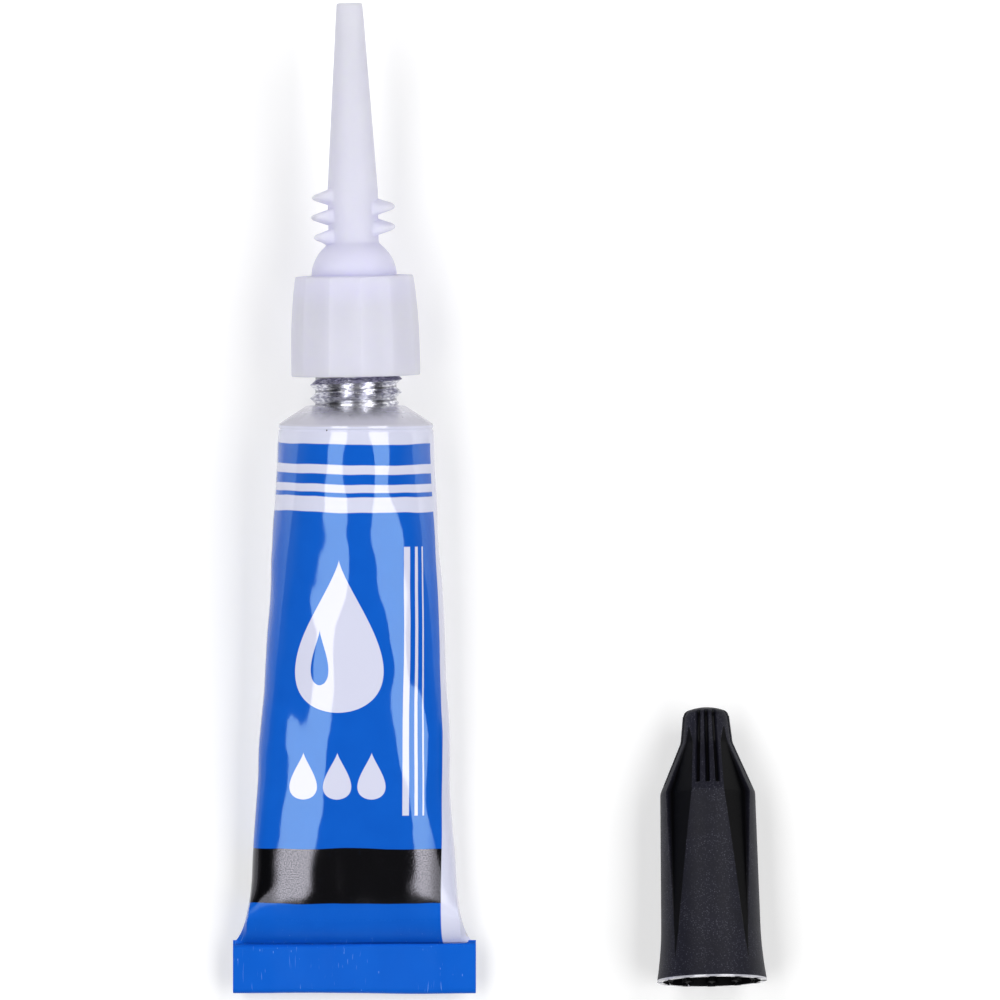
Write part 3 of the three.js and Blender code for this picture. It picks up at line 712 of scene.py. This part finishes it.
def recess_at(height):
    """Half width and floor distance of the recess between two wings."""
    def station(radius, wing, depth):
        chord = sqrt(radius ** 2 - (wing / 2) ** 2)
        return (chord - wing / 2) / sqrt(2), (chord + wing / 2) / sqrt(2) - depth
    start_radius = cap_radius(RECESS_START)
    halves, floors = zip(
        station(start_radius, start_radius * sqrt(2), 0),
        station(CAP_CORNER_RADIUS, WING_WIDTH, RECESS_DEPTH),
        station(CAP_COLLAR_RADIUS, WING_TOP_WIDTH, 0.06),
        (0.06, cap_radius(RECESS_END)),
    )
    heights = (RECESS_START, CAP_CORNER, CAP_COLLAR, RECESS_END)
    half = float(np.interp(height, heights, halves))
    floor = float(np.interp(height, heights, floors))
    spread = 0.05 + 0.9 * float(1 - smooth(0, RECESS_START, height))
    in_recess = RECESS_START < height < RECESS_END
    return max(half, spread), floor if in_recess else inf


def flutes(across, height, share):
    """Depth of the flutes across a wing, which come closer together towards the tip."""
    spacing = np.interp(height, (CAP_CORNER, CAP_LENGTH), (FLUTE_SPACING, FLUTE_TIP_SPACING))
    begun = share * smooth(CAP_CORNER + FLUTE_START, CAP_CORNER + FLUTE_START + 0.12, height)
    total = 0 * across
    for number in range(FLUTE_COUNT):
        away = np.abs(across - (number - (FLUTE_COUNT - 1) / 2) * spacing)
        total = total + 1 - smooth(0.2 * FLUTE_WIDTH, 0.5 * FLUTE_WIDTH, away)
    return FLUTE_DEPTH * begun * total


def half_sector(height, radius, flute_share, reach):
    """Points of the outside from the middle of a recess to the middle of a wing.

    The rows are the distance out, the distance across, and the finish: 1 is the wings' grain, and 0 is smooth and
    painted darker as shade.
    """
    half, floor = recess_at(height)
    half *= reach
    low, high = half - RECESS_WALL, half + RECESS_WALL
    across = np.concatenate([np.linspace(0, low, 12), np.linspace(low, high, 6)[1:-1]])
    on_round = np.sqrt(np.maximum(radius ** 2 - across ** 2, 0.01))
    up_wall = smooth(low, high, across)
    out = blend(np.minimum(floor, on_round), on_round, up_wall)
    edge = asin(min(high / radius, 0.7))
    angles = np.linspace(edge, pi / 4, 31)
    dips = flutes(radius * np.sin(pi / 4 - angles), height, flute_share)
    on_wing = radius - dips
    out = np.concatenate([out, on_wing * np.cos(angles)])
    across = np.concatenate([across, on_wing * np.sin(angles)])
    finish = np.maximum(up_wall, floor == inf)
    finish = np.concatenate([finish, 1 - dips / FLUTE_DEPTH])
    return np.stack([out, across, finish])


def cap_ring(height, radius, flute_share=1.0):
    """One ring of the cap's outside, with its wings, recesses and flutes: x, y, z and the finish, which also sets
    the painted shade in recesses and flutes.
    """
    by_front = half_sector(height, radius, flute_share, 1.0)
    by_side = half_sector(height, radius, flute_share, SIDE_RECESS_SHARE)
    points = []
    for wing in range(WING_COUNT):
        first, last = (by_side, by_front) if wing % 2 else (by_front, by_side)
        first = first * np.array([[1], [-1], [1]])
        out, across, finish = np.concatenate([first[:, :0:-1], last[:, :-1]], axis=1)
        angle = TURN * (wing + 0.5) / WING_COUNT
        x = out * sin(angle) + across * cos(angle)
        z = out * cos(angle) - across * sin(angle)
        points.append(np.stack([x, height + 0 * x, z, finish], -1))
    return np.concatenate(points)


def cap_outside():
    """Rings from the rim over the outside to the domed tip, and the tip's height."""
    rings = [cap_ring(0.0, CAP_MOUTH_RADIUS - 0.05), cap_ring(0.02, CAP_MOUTH_RADIUS - 0.01)]
    stations = [0.06, RECESS_START, CAP_CORNER - 0.3, CAP_CORNER + FLUTE_START + 0.2]
    stations += [CAP_COLLAR - 0.3, CAP_COLLAR + 0.3, CAP_LENGTH - CAP_CROWN - CAP_TIP_EDGE]
    heights = stations[:1]
    for low, high, count in zip(stations, stations[1:], (16, 56, 24, 24, 14, 16)):
        heights += [*np.linspace(low, high, count)[1:]]
    rings += [cap_ring(height, cap_radius(height)) for height in heights]
    shoulder = heights[-1]
    for angle in np.linspace(0, CAP_TIP_TURN, 9)[1:]:
        radius = CAP_TIP_RADIUS - CAP_TIP_EDGE * (1 - cos(angle))
        height = shoulder + CAP_TIP_EDGE * sin(angle)
        rings.append(cap_ring(height, radius, 1 - smooth(0.35, 1.0, angle / CAP_TIP_TURN)))
    rise = radius / tan(CAP_TIP_TURN) / 2
    for share in np.linspace(0, 0.92, 8)[1:]:
        rings.append(cap_ring(height + rise * (1 - (1 - share) ** 2), radius * (1 - share), 0.0))
    return rings, height + rise


def beside_rib(angles):
    """Angles from the middle of the nearest rib."""
    return (angles + pi / CAP_RIBS) % (TURN / CAP_RIBS) - pi / CAP_RIBS


def rib_end(angles, radius):
    """How far a place on the flat rim lies inside the round end of a rib."""
    middle = (CAP_MOUTH_BORE + CAP_MOUTH_RADIUS) / 2
    return CAP_RIB_END - np.hypot(radius - middle, middle * beside_rib(angles))


def cap_inside(angles):
    """Rings from the rim's inner edge up through the bore to the plugging pin. angles are the rim's own."""
    rings = []
    for radius in np.linspace(CAP_MOUTH_RADIUS - 0.1, CAP_MOUTH_BORE, RIM_RINGS):
        rings.append(ring(radius, CAP_RIB_SETBACK * smooth(0, 0.1, rib_end(angles, radius)), angles))
    stands = np.sqrt(np.maximum(CAP_RIB_HEIGHT ** 2 - (CAP_MOUTH_BORE * beside_rib(angles)) ** 2, 0))
    full = CAP_RIB_SETBACK + 0.15
    for y in (CAP_RIB_SETBACK, CAP_RIB_SETBACK + 0.05, full, *np.linspace(0.6, CAP_RIB_LENGTH, 8)):
        share = sqrt(float(smooth(CAP_RIB_SETBACK, full, y)))
        rings.append(ring(CAP_MOUTH_BORE - stands * share, y, angles))
    cone = (SPOUT_CORE_RADIUS + CAP_CONE_CLEARANCE, SPOUT_CORE_TOP + CAP_BORE - SPOUT_CORE_RADIUS)
    profile = [(CAP_BORE, CAP_RIB_LENGTH + CAP_RIB_HEIGHT), (CAP_BORE, SPOUT_CORE_TOP), cone]
    profile += straight(cone, (CAP_TIP_BORE, CAP_DEPTH), 14)
    pin = ORIFICE_RADIUS - CAP_PIN_CLEARANCE
    pin_end = CAP_DEPTH - CAP_PIN_LENGTH
    profile += [(pin, CAP_DEPTH), (pin, pin_end + 0.05), (pin - 0.08, pin_end)]
    return rings + lathe(profile, angles)


def make_cap():
    """The whole moulding. Its print places hold the finish, which also sets painted shade, and the height."""
    rings, top = cap_outside()
    outside = [points[:, :3] for points in rings]
    angles = np.arctan2(outside[0][:, 0], outside[0][:, 2])
    inside = cap_inside(angles)[::-1]
    around = len(angles)
    uv = np.zeros((len(inside) + len(outside), around + 1, 2))
    for row, points in enumerate(rings):
        uv[len(inside) + row, :around, 0] = points[:, 3]
        uv[len(inside) + row, :, 1] = points[0, 1]
    uv[:, around] = uv[:, 0]
    poles = [(0, CAP_DEPTH - CAP_PIN_LENGTH, 0), (0, top, 0)]
    materials = [black_plastic(), polished_rim_painted_reflection()]
    piece = skinned("cap_moulding", inside + outside, CAP_PLACE, materials, poles, uv, sharp=50)
    finish = np.zeros(len(piece.data.polygons), int)
    rows = np.arange(len(inside) - RIM_RINGS, len(inside) + EDGE_RINGS)
    near_rim = np.array(inside + outside)[rows]
    # The faces that take the rim's material, with its painted reflection.
    polished_painted_pale = rib_end(angles, np.hypot(near_rim[:, :, 0], near_rim[:, :, 2])) < 0
    polished_painted_pale[RIM_RINGS:] = True
    finish[rows[0] * around:(rows[-1] + 1) * around] = polished_painted_pale.ravel()
    piece.data.polygons.foreach_set("material_index", finish)
    return piece


# Materials

class Tree:
    """The nodes of a material or world, with short ways to add and join them."""

    def __init__(self, owner, shader="Principled BSDF"):
        owner.use_nodes = True
        self.owner = owner
        self.nodes = owner.node_tree.nodes
        self.links = owner.node_tree.links
        self.shader = self.nodes[shader]

    def put(self, socket, value):
        if isinstance(value, bpy.types.NodeSocket):
            self.links.new(value, socket)
        else:
            socket.default_value = value

    def add(self, kind, inputs=(), output=0, **settings):
        made = self.nodes.new(kind)
        for key, value in settings.items():
            setattr(made, key, value)
        for key, value in dict(inputs).items():
            self.put(made.inputs[key], value)
        return made.outputs[output]

    def set(self, **values):
        """Sets the shader's sockets, named with underscores for spaces."""
        for key, value in values.items():
            self.put(self.shader.inputs[key.replace("_", " ")], value)

    def place(self):
        """The place on the piece, in metres."""
        return self.add("ShaderNodeTexCoord", output=3)

    def print_places(self):
        """The print's places, and their two parts: round the girth and along, on the tube."""
        places = self.add("ShaderNodeUVMap", uv_map="Print")
        girth, length, _ = self.parts(places)
        return places, girth, length

    def parts(self, vector):
        apart = self.nodes.new("ShaderNodeSeparateXYZ")
        self.put(apart.inputs[0], vector)
        return apart.outputs

    def maths(self, operation, a, b=0, c=0):
        return self.add("ShaderNodeMath", {0: a, 1: b, 2: c}, operation=operation)

    def times(self, a, b, more=0):
        """a times b, and more added to it."""
        return self.maths("MULTIPLY_ADD", a, b, more)

    def minus(self, a, b):
        return self.maths("SUBTRACT", a, b)

    def most(self, *masks):
        """The greatest of some masks at each place."""
        total = masks[0]
        for mask in masks[1:]:
            total = self.maths("MAXIMUM", total, mask)
        return total

    def step(self, value, low, high, start=0, end=1):
        """Goes from start to end as the value goes from low to high."""
        inputs = {0: value, 1: low, 2: high, 3: start, 4: end}
        return self.add("ShaderNodeMapRange", inputs, interpolation_type="SMOOTHSTEP")

    def mix(self, share, a, b):
        return self.add("ShaderNodeMix", {0: share, 6: a, 7: b}, output=2, data_type="RGBA")

    def noise(self, vector, scale, detail=2, rough=0.5):
        inputs = {"Vector": vector, "Scale": scale, "Detail": detail, "Roughness": rough}
        return self.add("ShaderNodeTexNoise", inputs)

    def scaled(self, vector, scale, turn=0):
        inputs = {"Vector": vector, "Scale": scale, "Rotation": (0, 0, turn)}
        return self.add("ShaderNodeMapping", inputs)

    def bump(self, height, strength, distance, normal=None):
        inputs = {"Height": height, "Strength": strength, "Distance": distance * MM}
        if normal is not None:
            inputs["Normal"] = normal
        return self.add("ShaderNodeBump", inputs)

    def specks(self, vector, scale, size, share):
        """Small round spots in some cells of a grid: 1 in a spot and 0 elsewhere."""
        cells = self.nodes.new("ShaderNodeTexVoronoi")
        self.put(cells.inputs["Vector"], vector)
        self.put(cells.inputs["Scale"], scale)
        dice = self.add("ShaderNodeSeparateColor", {0: cells.outputs["Color"]})
        picked = self.maths("LESS_THAN", dice, share)
        return self.times(self.step(cells.outputs["Distance"], size, size * 0.6), picked)


def colour(red, green, blue):
    """A colour as seen on a screen, from 0 to 255, as the shader's linear colour."""
    def linear(value):
        value /= 255
        return value / 12.92 if value <= 0.04045 else ((value + 0.055) / 1.055) ** 2.4
    return (linear(red), linear(green), linear(blue), 1)


def mottled(name, scale, dark, pale, detail=3):
    """A new material's nodes, whose colour wanders between two, and the noise that it follows."""
    tree = Tree(bpy.data.materials.new(name))
    cloud = tree.noise(tree.place(), scale, detail)
    tree.set(Base_Color=tree.mix(cloud, colour(*dark), colour(*pale)))
    return tree, cloud


def drop(tree, girth, length, middle, tip, tall, wide):
    """A drop that points to the shoulder: 1 inside and 0 outside."""
    down = tree.maths("DIVIDE", tree.minus(length, tip), tall)
    blunt = tree.maths("SQRT", tree.most(tree.minus(1, down), 0))
    swell = tree.maths("POWER", tree.most(down, 0), 1.4)
    reach = tree.times(tree.times(swell, blunt), wide / 2 / DROP_PEAK)
    beside = tree.maths("ABSOLUTE", tree.minus(girth, middle))
    return tree.step(tree.minus(reach, beside), 0, 0.06)


def band(tree, place, start, end, soft=PRINT_EDGE):
    """1 between two places and 0 elsewhere."""
    begun = tree.step(place, start - soft, start + soft)
    return tree.times(begun, tree.step(place, end + soft, end - soft))


def white_motif(tree, girth, length):
    """Plain drops and lengthwise rules on the blue front."""
    big = drop(tree, girth, length, -1.5, 11.5, 13.5, 8.2)
    glint = drop(tree, girth, length, -3.2, 17.6, 5, 1.7)
    small = [drop(tree, girth, length, middle, 28.4, 4.2, 2.6) for middle in (-4.6, -1.5, 1.6)]
    along = band(tree, length, 10.5, 34)
    rules = [band(tree, girth, start, end, 0.03) for start, end in RULES]
    lines = tree.times(tree.most(*rules), along)
    return tree.most(tree.minus(big, glint), *small, lines)


def printed_areas(tree, places, girth, length):
    """Where the print is white and where it is black."""
    wander = tree.minus(tree.noise(tree.scaled(places, (0.12, 0.05, 1)), 1), 0.5)
    edge = tree.times(wander, 0.7, length)
    white = tree.step(edge, WHITE_BAND_END + PRINT_EDGE, WHITE_BAND_END - PRINT_EDGE)
    stripes = tree.most(*[band(tree, edge, start, end) for start, end in STRIPES])
    drift = tree.step(length, 24, SLEEVE_LENGTH, 0, 0.6)
    side = tree.maths("ADD", tree.times(wander, 0.12, girth), drift)
    right = tree.step(side, PANEL_RIGHT - PRINT_EDGE, PANEL_RIGHT + PRINT_EDGE)
    left = tree.step(side, PANEL_LEFT + PRINT_EDGE, PANEL_LEFT - PRINT_EDGE)
    above_fold = tree.step(length, SLEEVE_LENGTH + 0.1, SLEEVE_LENGTH)
    panel = tree.times(tree.most(right, left), above_fold)
    pale = tree.most(tree.minus(white, stripes), panel, white_motif(tree, girth, length))
    return pale, band(tree, edge, BLACK_BAND_START, BLACK_BAND_END)


def wear(tree, places, length):
    """Fine bent scratches and dust, mostly on the fold."""
    bend = tree.add("ShaderNodeTexNoise", {"Vector": places, "Scale": 0.5, "Detail": 1.0}, output=1)
    bent = tree.add("ShaderNodeVectorMath", {0: places, 1: bend}, operation="ADD")
    fine_lines = tree.noise(tree.scaled(bent, (8, 0.8, 1), 0.3), 1, 1)
    other_lines = tree.noise(tree.scaled(bent, (6, 1, 1), -0.6), 1.6, 1)
    lines = tree.most(tree.step(fine_lines, 0.73, 0.77), tree.step(other_lines, 0.72, 0.76))
    patches = tree.step(tree.noise(places, 0.5), 0.44, 0.58)
    lines = tree.times(lines, patches)
    dust = tree.specks(places, 2.6, 0.13, 0.3)
    on_fold = tree.step(length, 43, 46, 0.03, 1)
    return tree.times(tree.most(lines, dust), on_fold)


def lacquer_gloss(tree, places, girth, black, below):
    """How much the lacquer mirrors: speckled on the black band, and less below it and on the flanks."""
    speckle = tree.step(tree.noise(places, 9, 2, 0.7), 0.34, 0.62, 0, 0.46)
    gloss = tree.times(below, -0.36, 0.42)
    gloss = tree.times(black, speckle, gloss)
    flank = tree.step(tree.maths("ABSOLUTE", girth), 6.4, 7.8)
    return tree.times(gloss, tree.times(flank, -0.6, 1))


def printed_lacquer():
    """Gloss lacquer with plain bands, stripes and drops, which thins out to bare metal by the neck."""
    tree = Tree(bpy.data.materials.new("printed_lacquer"))
    places, girth, length = tree.print_places()
    pale, black = printed_areas(tree, places, girth, length)
    shoulder = tree.step(length, 0.02, -0.06)
    worn = wear(tree, places, length)
    dirt = tree.times(tree.specks(places, 1.5, 0.15, 0.15), tree.step(length, 1.6, 0.7))
    bare = tree.step(tree.maths("ADD", tree.noise(places, 0.8), length), 0, -2.6)
    paint = tree.mix(tree.noise(places, 0.35, 3), colour(12, 88, 196), colour(18, 98, 208))
    paint = tree.mix(black, paint, colour(6, 6, 8))
    paint = tree.mix(pale, paint, colour(218, 220, 241))
    paint = tree.mix(shoulder, paint, colour(203, 202, 216))
    paint = tree.mix(tree.times(worn, 0.4), paint, colour(132, 178, 242))
    paint = tree.mix(dirt, paint, colour(28, 27, 33))
    paint = tree.mix(bare, paint, colour(226, 227, 231))

    below = tree.step(length, BLACK_BAND_END - 1, BLACK_BAND_END + 2.5)
    rough = tree.times(tree.noise(places, 9), 0.05, 0.05)
    for mask, more in ((bare, 0.2), (black, 0.03), (below, 0.25)):
        rough = tree.times(mask, more, rough)
    tint = tree.mix(black, (0.62, 0.95, 1, 1), (0.9, 0.88, 1, 1))
    tint = tree.mix(tree.most(pale, shoulder), tint, (1, 0.98, 1, 1))
    peel = tree.bump(tree.noise(places, 1.1), 0.2, 0.02)
    inked = tree.bump(tree.noise(places, 7), tree.times(black, 0.35), 0.02, peel)
    tree.set(Base_Color=paint, Roughness=rough, Metallic=bare, Normal=inked, IOR=1.8)
    tree.set(Specular_Tint=tint, Specular_IOR_Level=lacquer_gloss(tree, places, girth, black, below))
    return tree.owner


def bare_aluminium():
    """Soft aluminium with fine rings left by the tool, and painted shade darkening the roots of the thread."""
    tree = Tree(bpy.data.materials.new("bare_aluminium"))
    place = tree.place()
    _, girth, length = tree.print_places()
    turns = tree.maths("DIVIDE", tree.minus(NECK_MARK, length), NECK_THREAD_PITCH)
    round_turns = tree.times(girth, 1 / GIRTH, NECK_THREAD_TURN / TURN)
    phase = tree.maths("FRACT", tree.minus(turns, round_turns))
    from_crest = tree.maths("ABSOLUTE", tree.minus(phase, 0.5))
    ragged = tree.times(tree.noise(place, 2600, 3), 0.16, from_crest)
    root = tree.step(ragged, 0.46, 0.54)
    rings = tree.noise(tree.scaled(place, (1800, 9000, 1800)), 1, 3, 0.65)
    stains = tree.noise(place, 900, 3)
    sparkle = tree.step(tree.noise(tree.scaled(place, (2400, 6500, 2400)), 1, 2), 0.36, 0.64)
    shade = tree.mix(sparkle, colour(162, 162, 177), colour(246, 246, 250))
    # Painted shade: the thread's roots are darkened in the colour, standing for the shadow under each crest.
    shade = tree.mix(tree.times(root, 0.7), shade, colour(84, 84, 98))
    rough = tree.times(stains, 0.14, 0.16)
    tree.set(Base_Color=shade, Metallic=1, Roughness=rough, Normal=tree.bump(rings, 0.9, 0.035))
    return tree.owner


def natural_polyethylene():
    """Milky uncoloured polyethylene, with a faintly uneven moulded surface."""
    tree, _ = mottled("natural_polyethylene", 260, (217, 216, 244), (223, 222, 250))
    place = tree.place()
    rough = tree.times(tree.noise(place, 1400), 0.1, 0.42)
    skin = tree.bump(tree.noise(place, 2600), 0.10, 0.02)
    tree.set(Roughness=rough, Normal=skin, IOR=1.5, Specular_IOR_Level=0.2)
    tree.set(Subsurface_Weight=0.9, Subsurface_Radius=(1, 0.95, 1.1), Subsurface_Scale=3 * MM)
    return tree.owner


def black_plastic():
    """Black moulding: wings with a fine dusty grain, and smooth recesses and flute floors, which are also painted
    darker as shade.
    """
    tree = Tree(bpy.data.materials.new("black_plastic"))
    place = tree.place()
    _, grained_unshaded, _ = tree.print_places()
    grain = tree.noise(place, 5200, 3, 0.6)
    patches = tree.noise(place, 420, 3)
    wing = tree.mix(patches, colour(13, 13, 23), colour(21, 21, 36))
    # Painted shade: the smooth recess and flute floors get a darker black than the wings.
    shade = tree.mix(grained_unshaded, colour(4, 4, 6), wing)
    thick = tree.times(tree.step(patches, 0.36, 0.6, 0.25, 1), grained_unshaded)
    fine = tree.times(tree.specks(place, 8500, 0.45, 0.4), 0.09)
    coarse = tree.times(tree.specks(place, 4600, 0.28, 0.14), 0.13)
    dust = tree.times(tree.most(fine, coarse), thick)
    flecks = tree.specks(place, 700, 0.06, 0.05)
    pale = tree.most(dust, tree.times(flecks, 0.6))
    shade = tree.mix(pale, shade, colour(170, 170, 188))
    rough = tree.times(grain, 0.2, 0.26)
    rough = tree.times(grained_unshaded, 0.2, rough)
    tree.set(Base_Color=shade, Roughness=rough, Normal=tree.bump(grain, 0.3, 0.02), IOR=1.5)
    tree.set(Specular_IOR_Level=tree.times(grained_unshaded, 0.14, 0.09))
    return tree.owner


def polished_rim_painted_reflection():
    """The cap's flat rim, smoother than its sides and a little scuffed, and painted pale grey over the black as a
    painted reflection of the bright table.
    """
    # Pale greys on a black moulding: a painted reflection.
    tree, scuffs = mottled("polished_rim_painted_reflection", 2400, (160, 160, 170), (204, 204, 213))
    tree.set(Roughness=tree.times(scuffs, 0.1, 0.06), IOR=2)
    return tree.owner


def clear_adhesive():
    tree, _ = mottled("clear_adhesive", 300, (222, 230, 230), (240, 244, 244), 2)
    tree.set(Roughness=0.08, IOR=1.45, Transmission_Weight=0.8)
    return tree.owner


def latex():
    tree, cloud = mottled("latex", 800, (210, 202, 176), (224, 217, 196))
    tree.set(Roughness=0.7, Normal=tree.bump(cloud, 0.3, 0.05))
    return tree.owner


# Floor, light and camera

def make_floor():
    """A wide white table, which shows as plain white away from the shadows."""
    size = TABLE_HALF_WIDTH
    corners = [(-size, -size), (size, -size), (size, size), (-size, size)]
    mesh = bpy.data.meshes.new("table")
    mesh.from_pydata([(x, y, -0.02 * MM) for x, y in corners], [], [(0, 1, 2, 3)])
    floor = placed("table", mesh)
    tree = Tree(bpy.data.materials.new("table_white"))
    path = tree.nodes.new("ShaderNodeLightPath")
    rays = ("Is Camera Ray", "Is Glossy Ray", "Is Transmission Ray")
    glow = tree.times(tree.most(*[path.outputs[ray] for ray in rays]), TABLE_GLOW)
    tree.set(Base_Color=(0.72, 0.72, 0.72, 1), Roughness=0.9, Specular_IOR_Level=0.0)
    tree.set(Emission_Color=(1, 1, 1, 1), Emission_Strength=glow)
    mesh.materials.append(tree.owner)


def make_softbox(name, angle, radiance, half_angle, mirrored=True):
    """A long soft light over the tube, at an angle from overhead towards the right, in degrees."""
    lamp = bpy.data.lights.new(name, "AREA")
    lamp.shape = "RECTANGLE"
    lamp.size = 2 * LIGHT_DISTANCE * tan(radians(half_angle))
    lamp.size_y = 2 * LIGHT_DISTANCE * tan(LIGHT_HALF_LENGTH)
    lamp.energy = radiance * pi * lamp.size * lamp.size_y
    light = placed(name, lamp)
    turn = radians(angle)
    light.location = (LIGHT_DISTANCE * sin(turn), 0, LIGHT_DISTANCE * cos(turn))
    light.rotation_euler = (0, turn, 0)
    light.visible_camera = False
    light.visible_glossy = mirrored


def make_world():
    """A dim room, brighter near the horizon and dark overhead between the soft lights."""
    tree = Tree(bpy.data.worlds.new("room"), "Background")
    scene.world = tree.owner
    height = tree.parts(tree.add("ShaderNodeTexCoord"))[2]
    light = tree.step(height, 0.0, OVERHEAD_START, HORIZON_LIGHT, OVERHEAD_LIGHT)
    tree.set(Color=(1, 1, 1, 1), Strength=light)


def make_camera():
    camera = bpy.data.cameras.new("camera")
    camera.sensor_width = 36
    camera.lens = camera.sensor_width * CAMERA_DISTANCE / FRAME_WIDTH
    camera.clip_start, camera.clip_end = 0.1, 10
    back = Vector((0, -cos(CAMERA_ELEVATION), sin(CAMERA_ELEVATION)))
    view = placed("camera", camera)
    view.location = Vector((0, 0, CAMERA_TARGET_HEIGHT * MM)) + back * CAMERA_DISTANCE * MM
    view.rotation_mode = "QUATERNION"
    view.rotation_quaternion = (-back).to_track_quat("-Z", "Y")
    scene.camera = view


tube_skin = make_tube_skin()
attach(tube_skin, "tube")
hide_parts("tube_body")

tube_fold = make_fold()
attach(tube_fold, "tube")

membrane = make_membrane()
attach(membrane, "tube")
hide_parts("neck_membrane")

glue = make_glue()
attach(glue, "tube")
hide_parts("adhesive")

sealant = frame["nodes"]["end_sealant"]
sealant.data.materials.clear()
sealant.data.materials.append(latex())

nozzle = make_nozzle()
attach(nozzle, "nozzle")
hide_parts("nozzle")

cap = make_cap()
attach(cap, "cap")
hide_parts("cap")

make_floor()
make_world()
make_softbox("softbox_left", -25, 3.7, half_angle=12)
make_softbox("softbox_right", 33.5, 3.7, half_angle=14.5)
make_softbox("fill_left", -66, 0.8, half_angle=18, mirrored=False)
make_softbox("fill_right", 70, 0.2, half_angle=18, mirrored=False)
make_camera()
scene.view_settings.view_transform = "Standard"
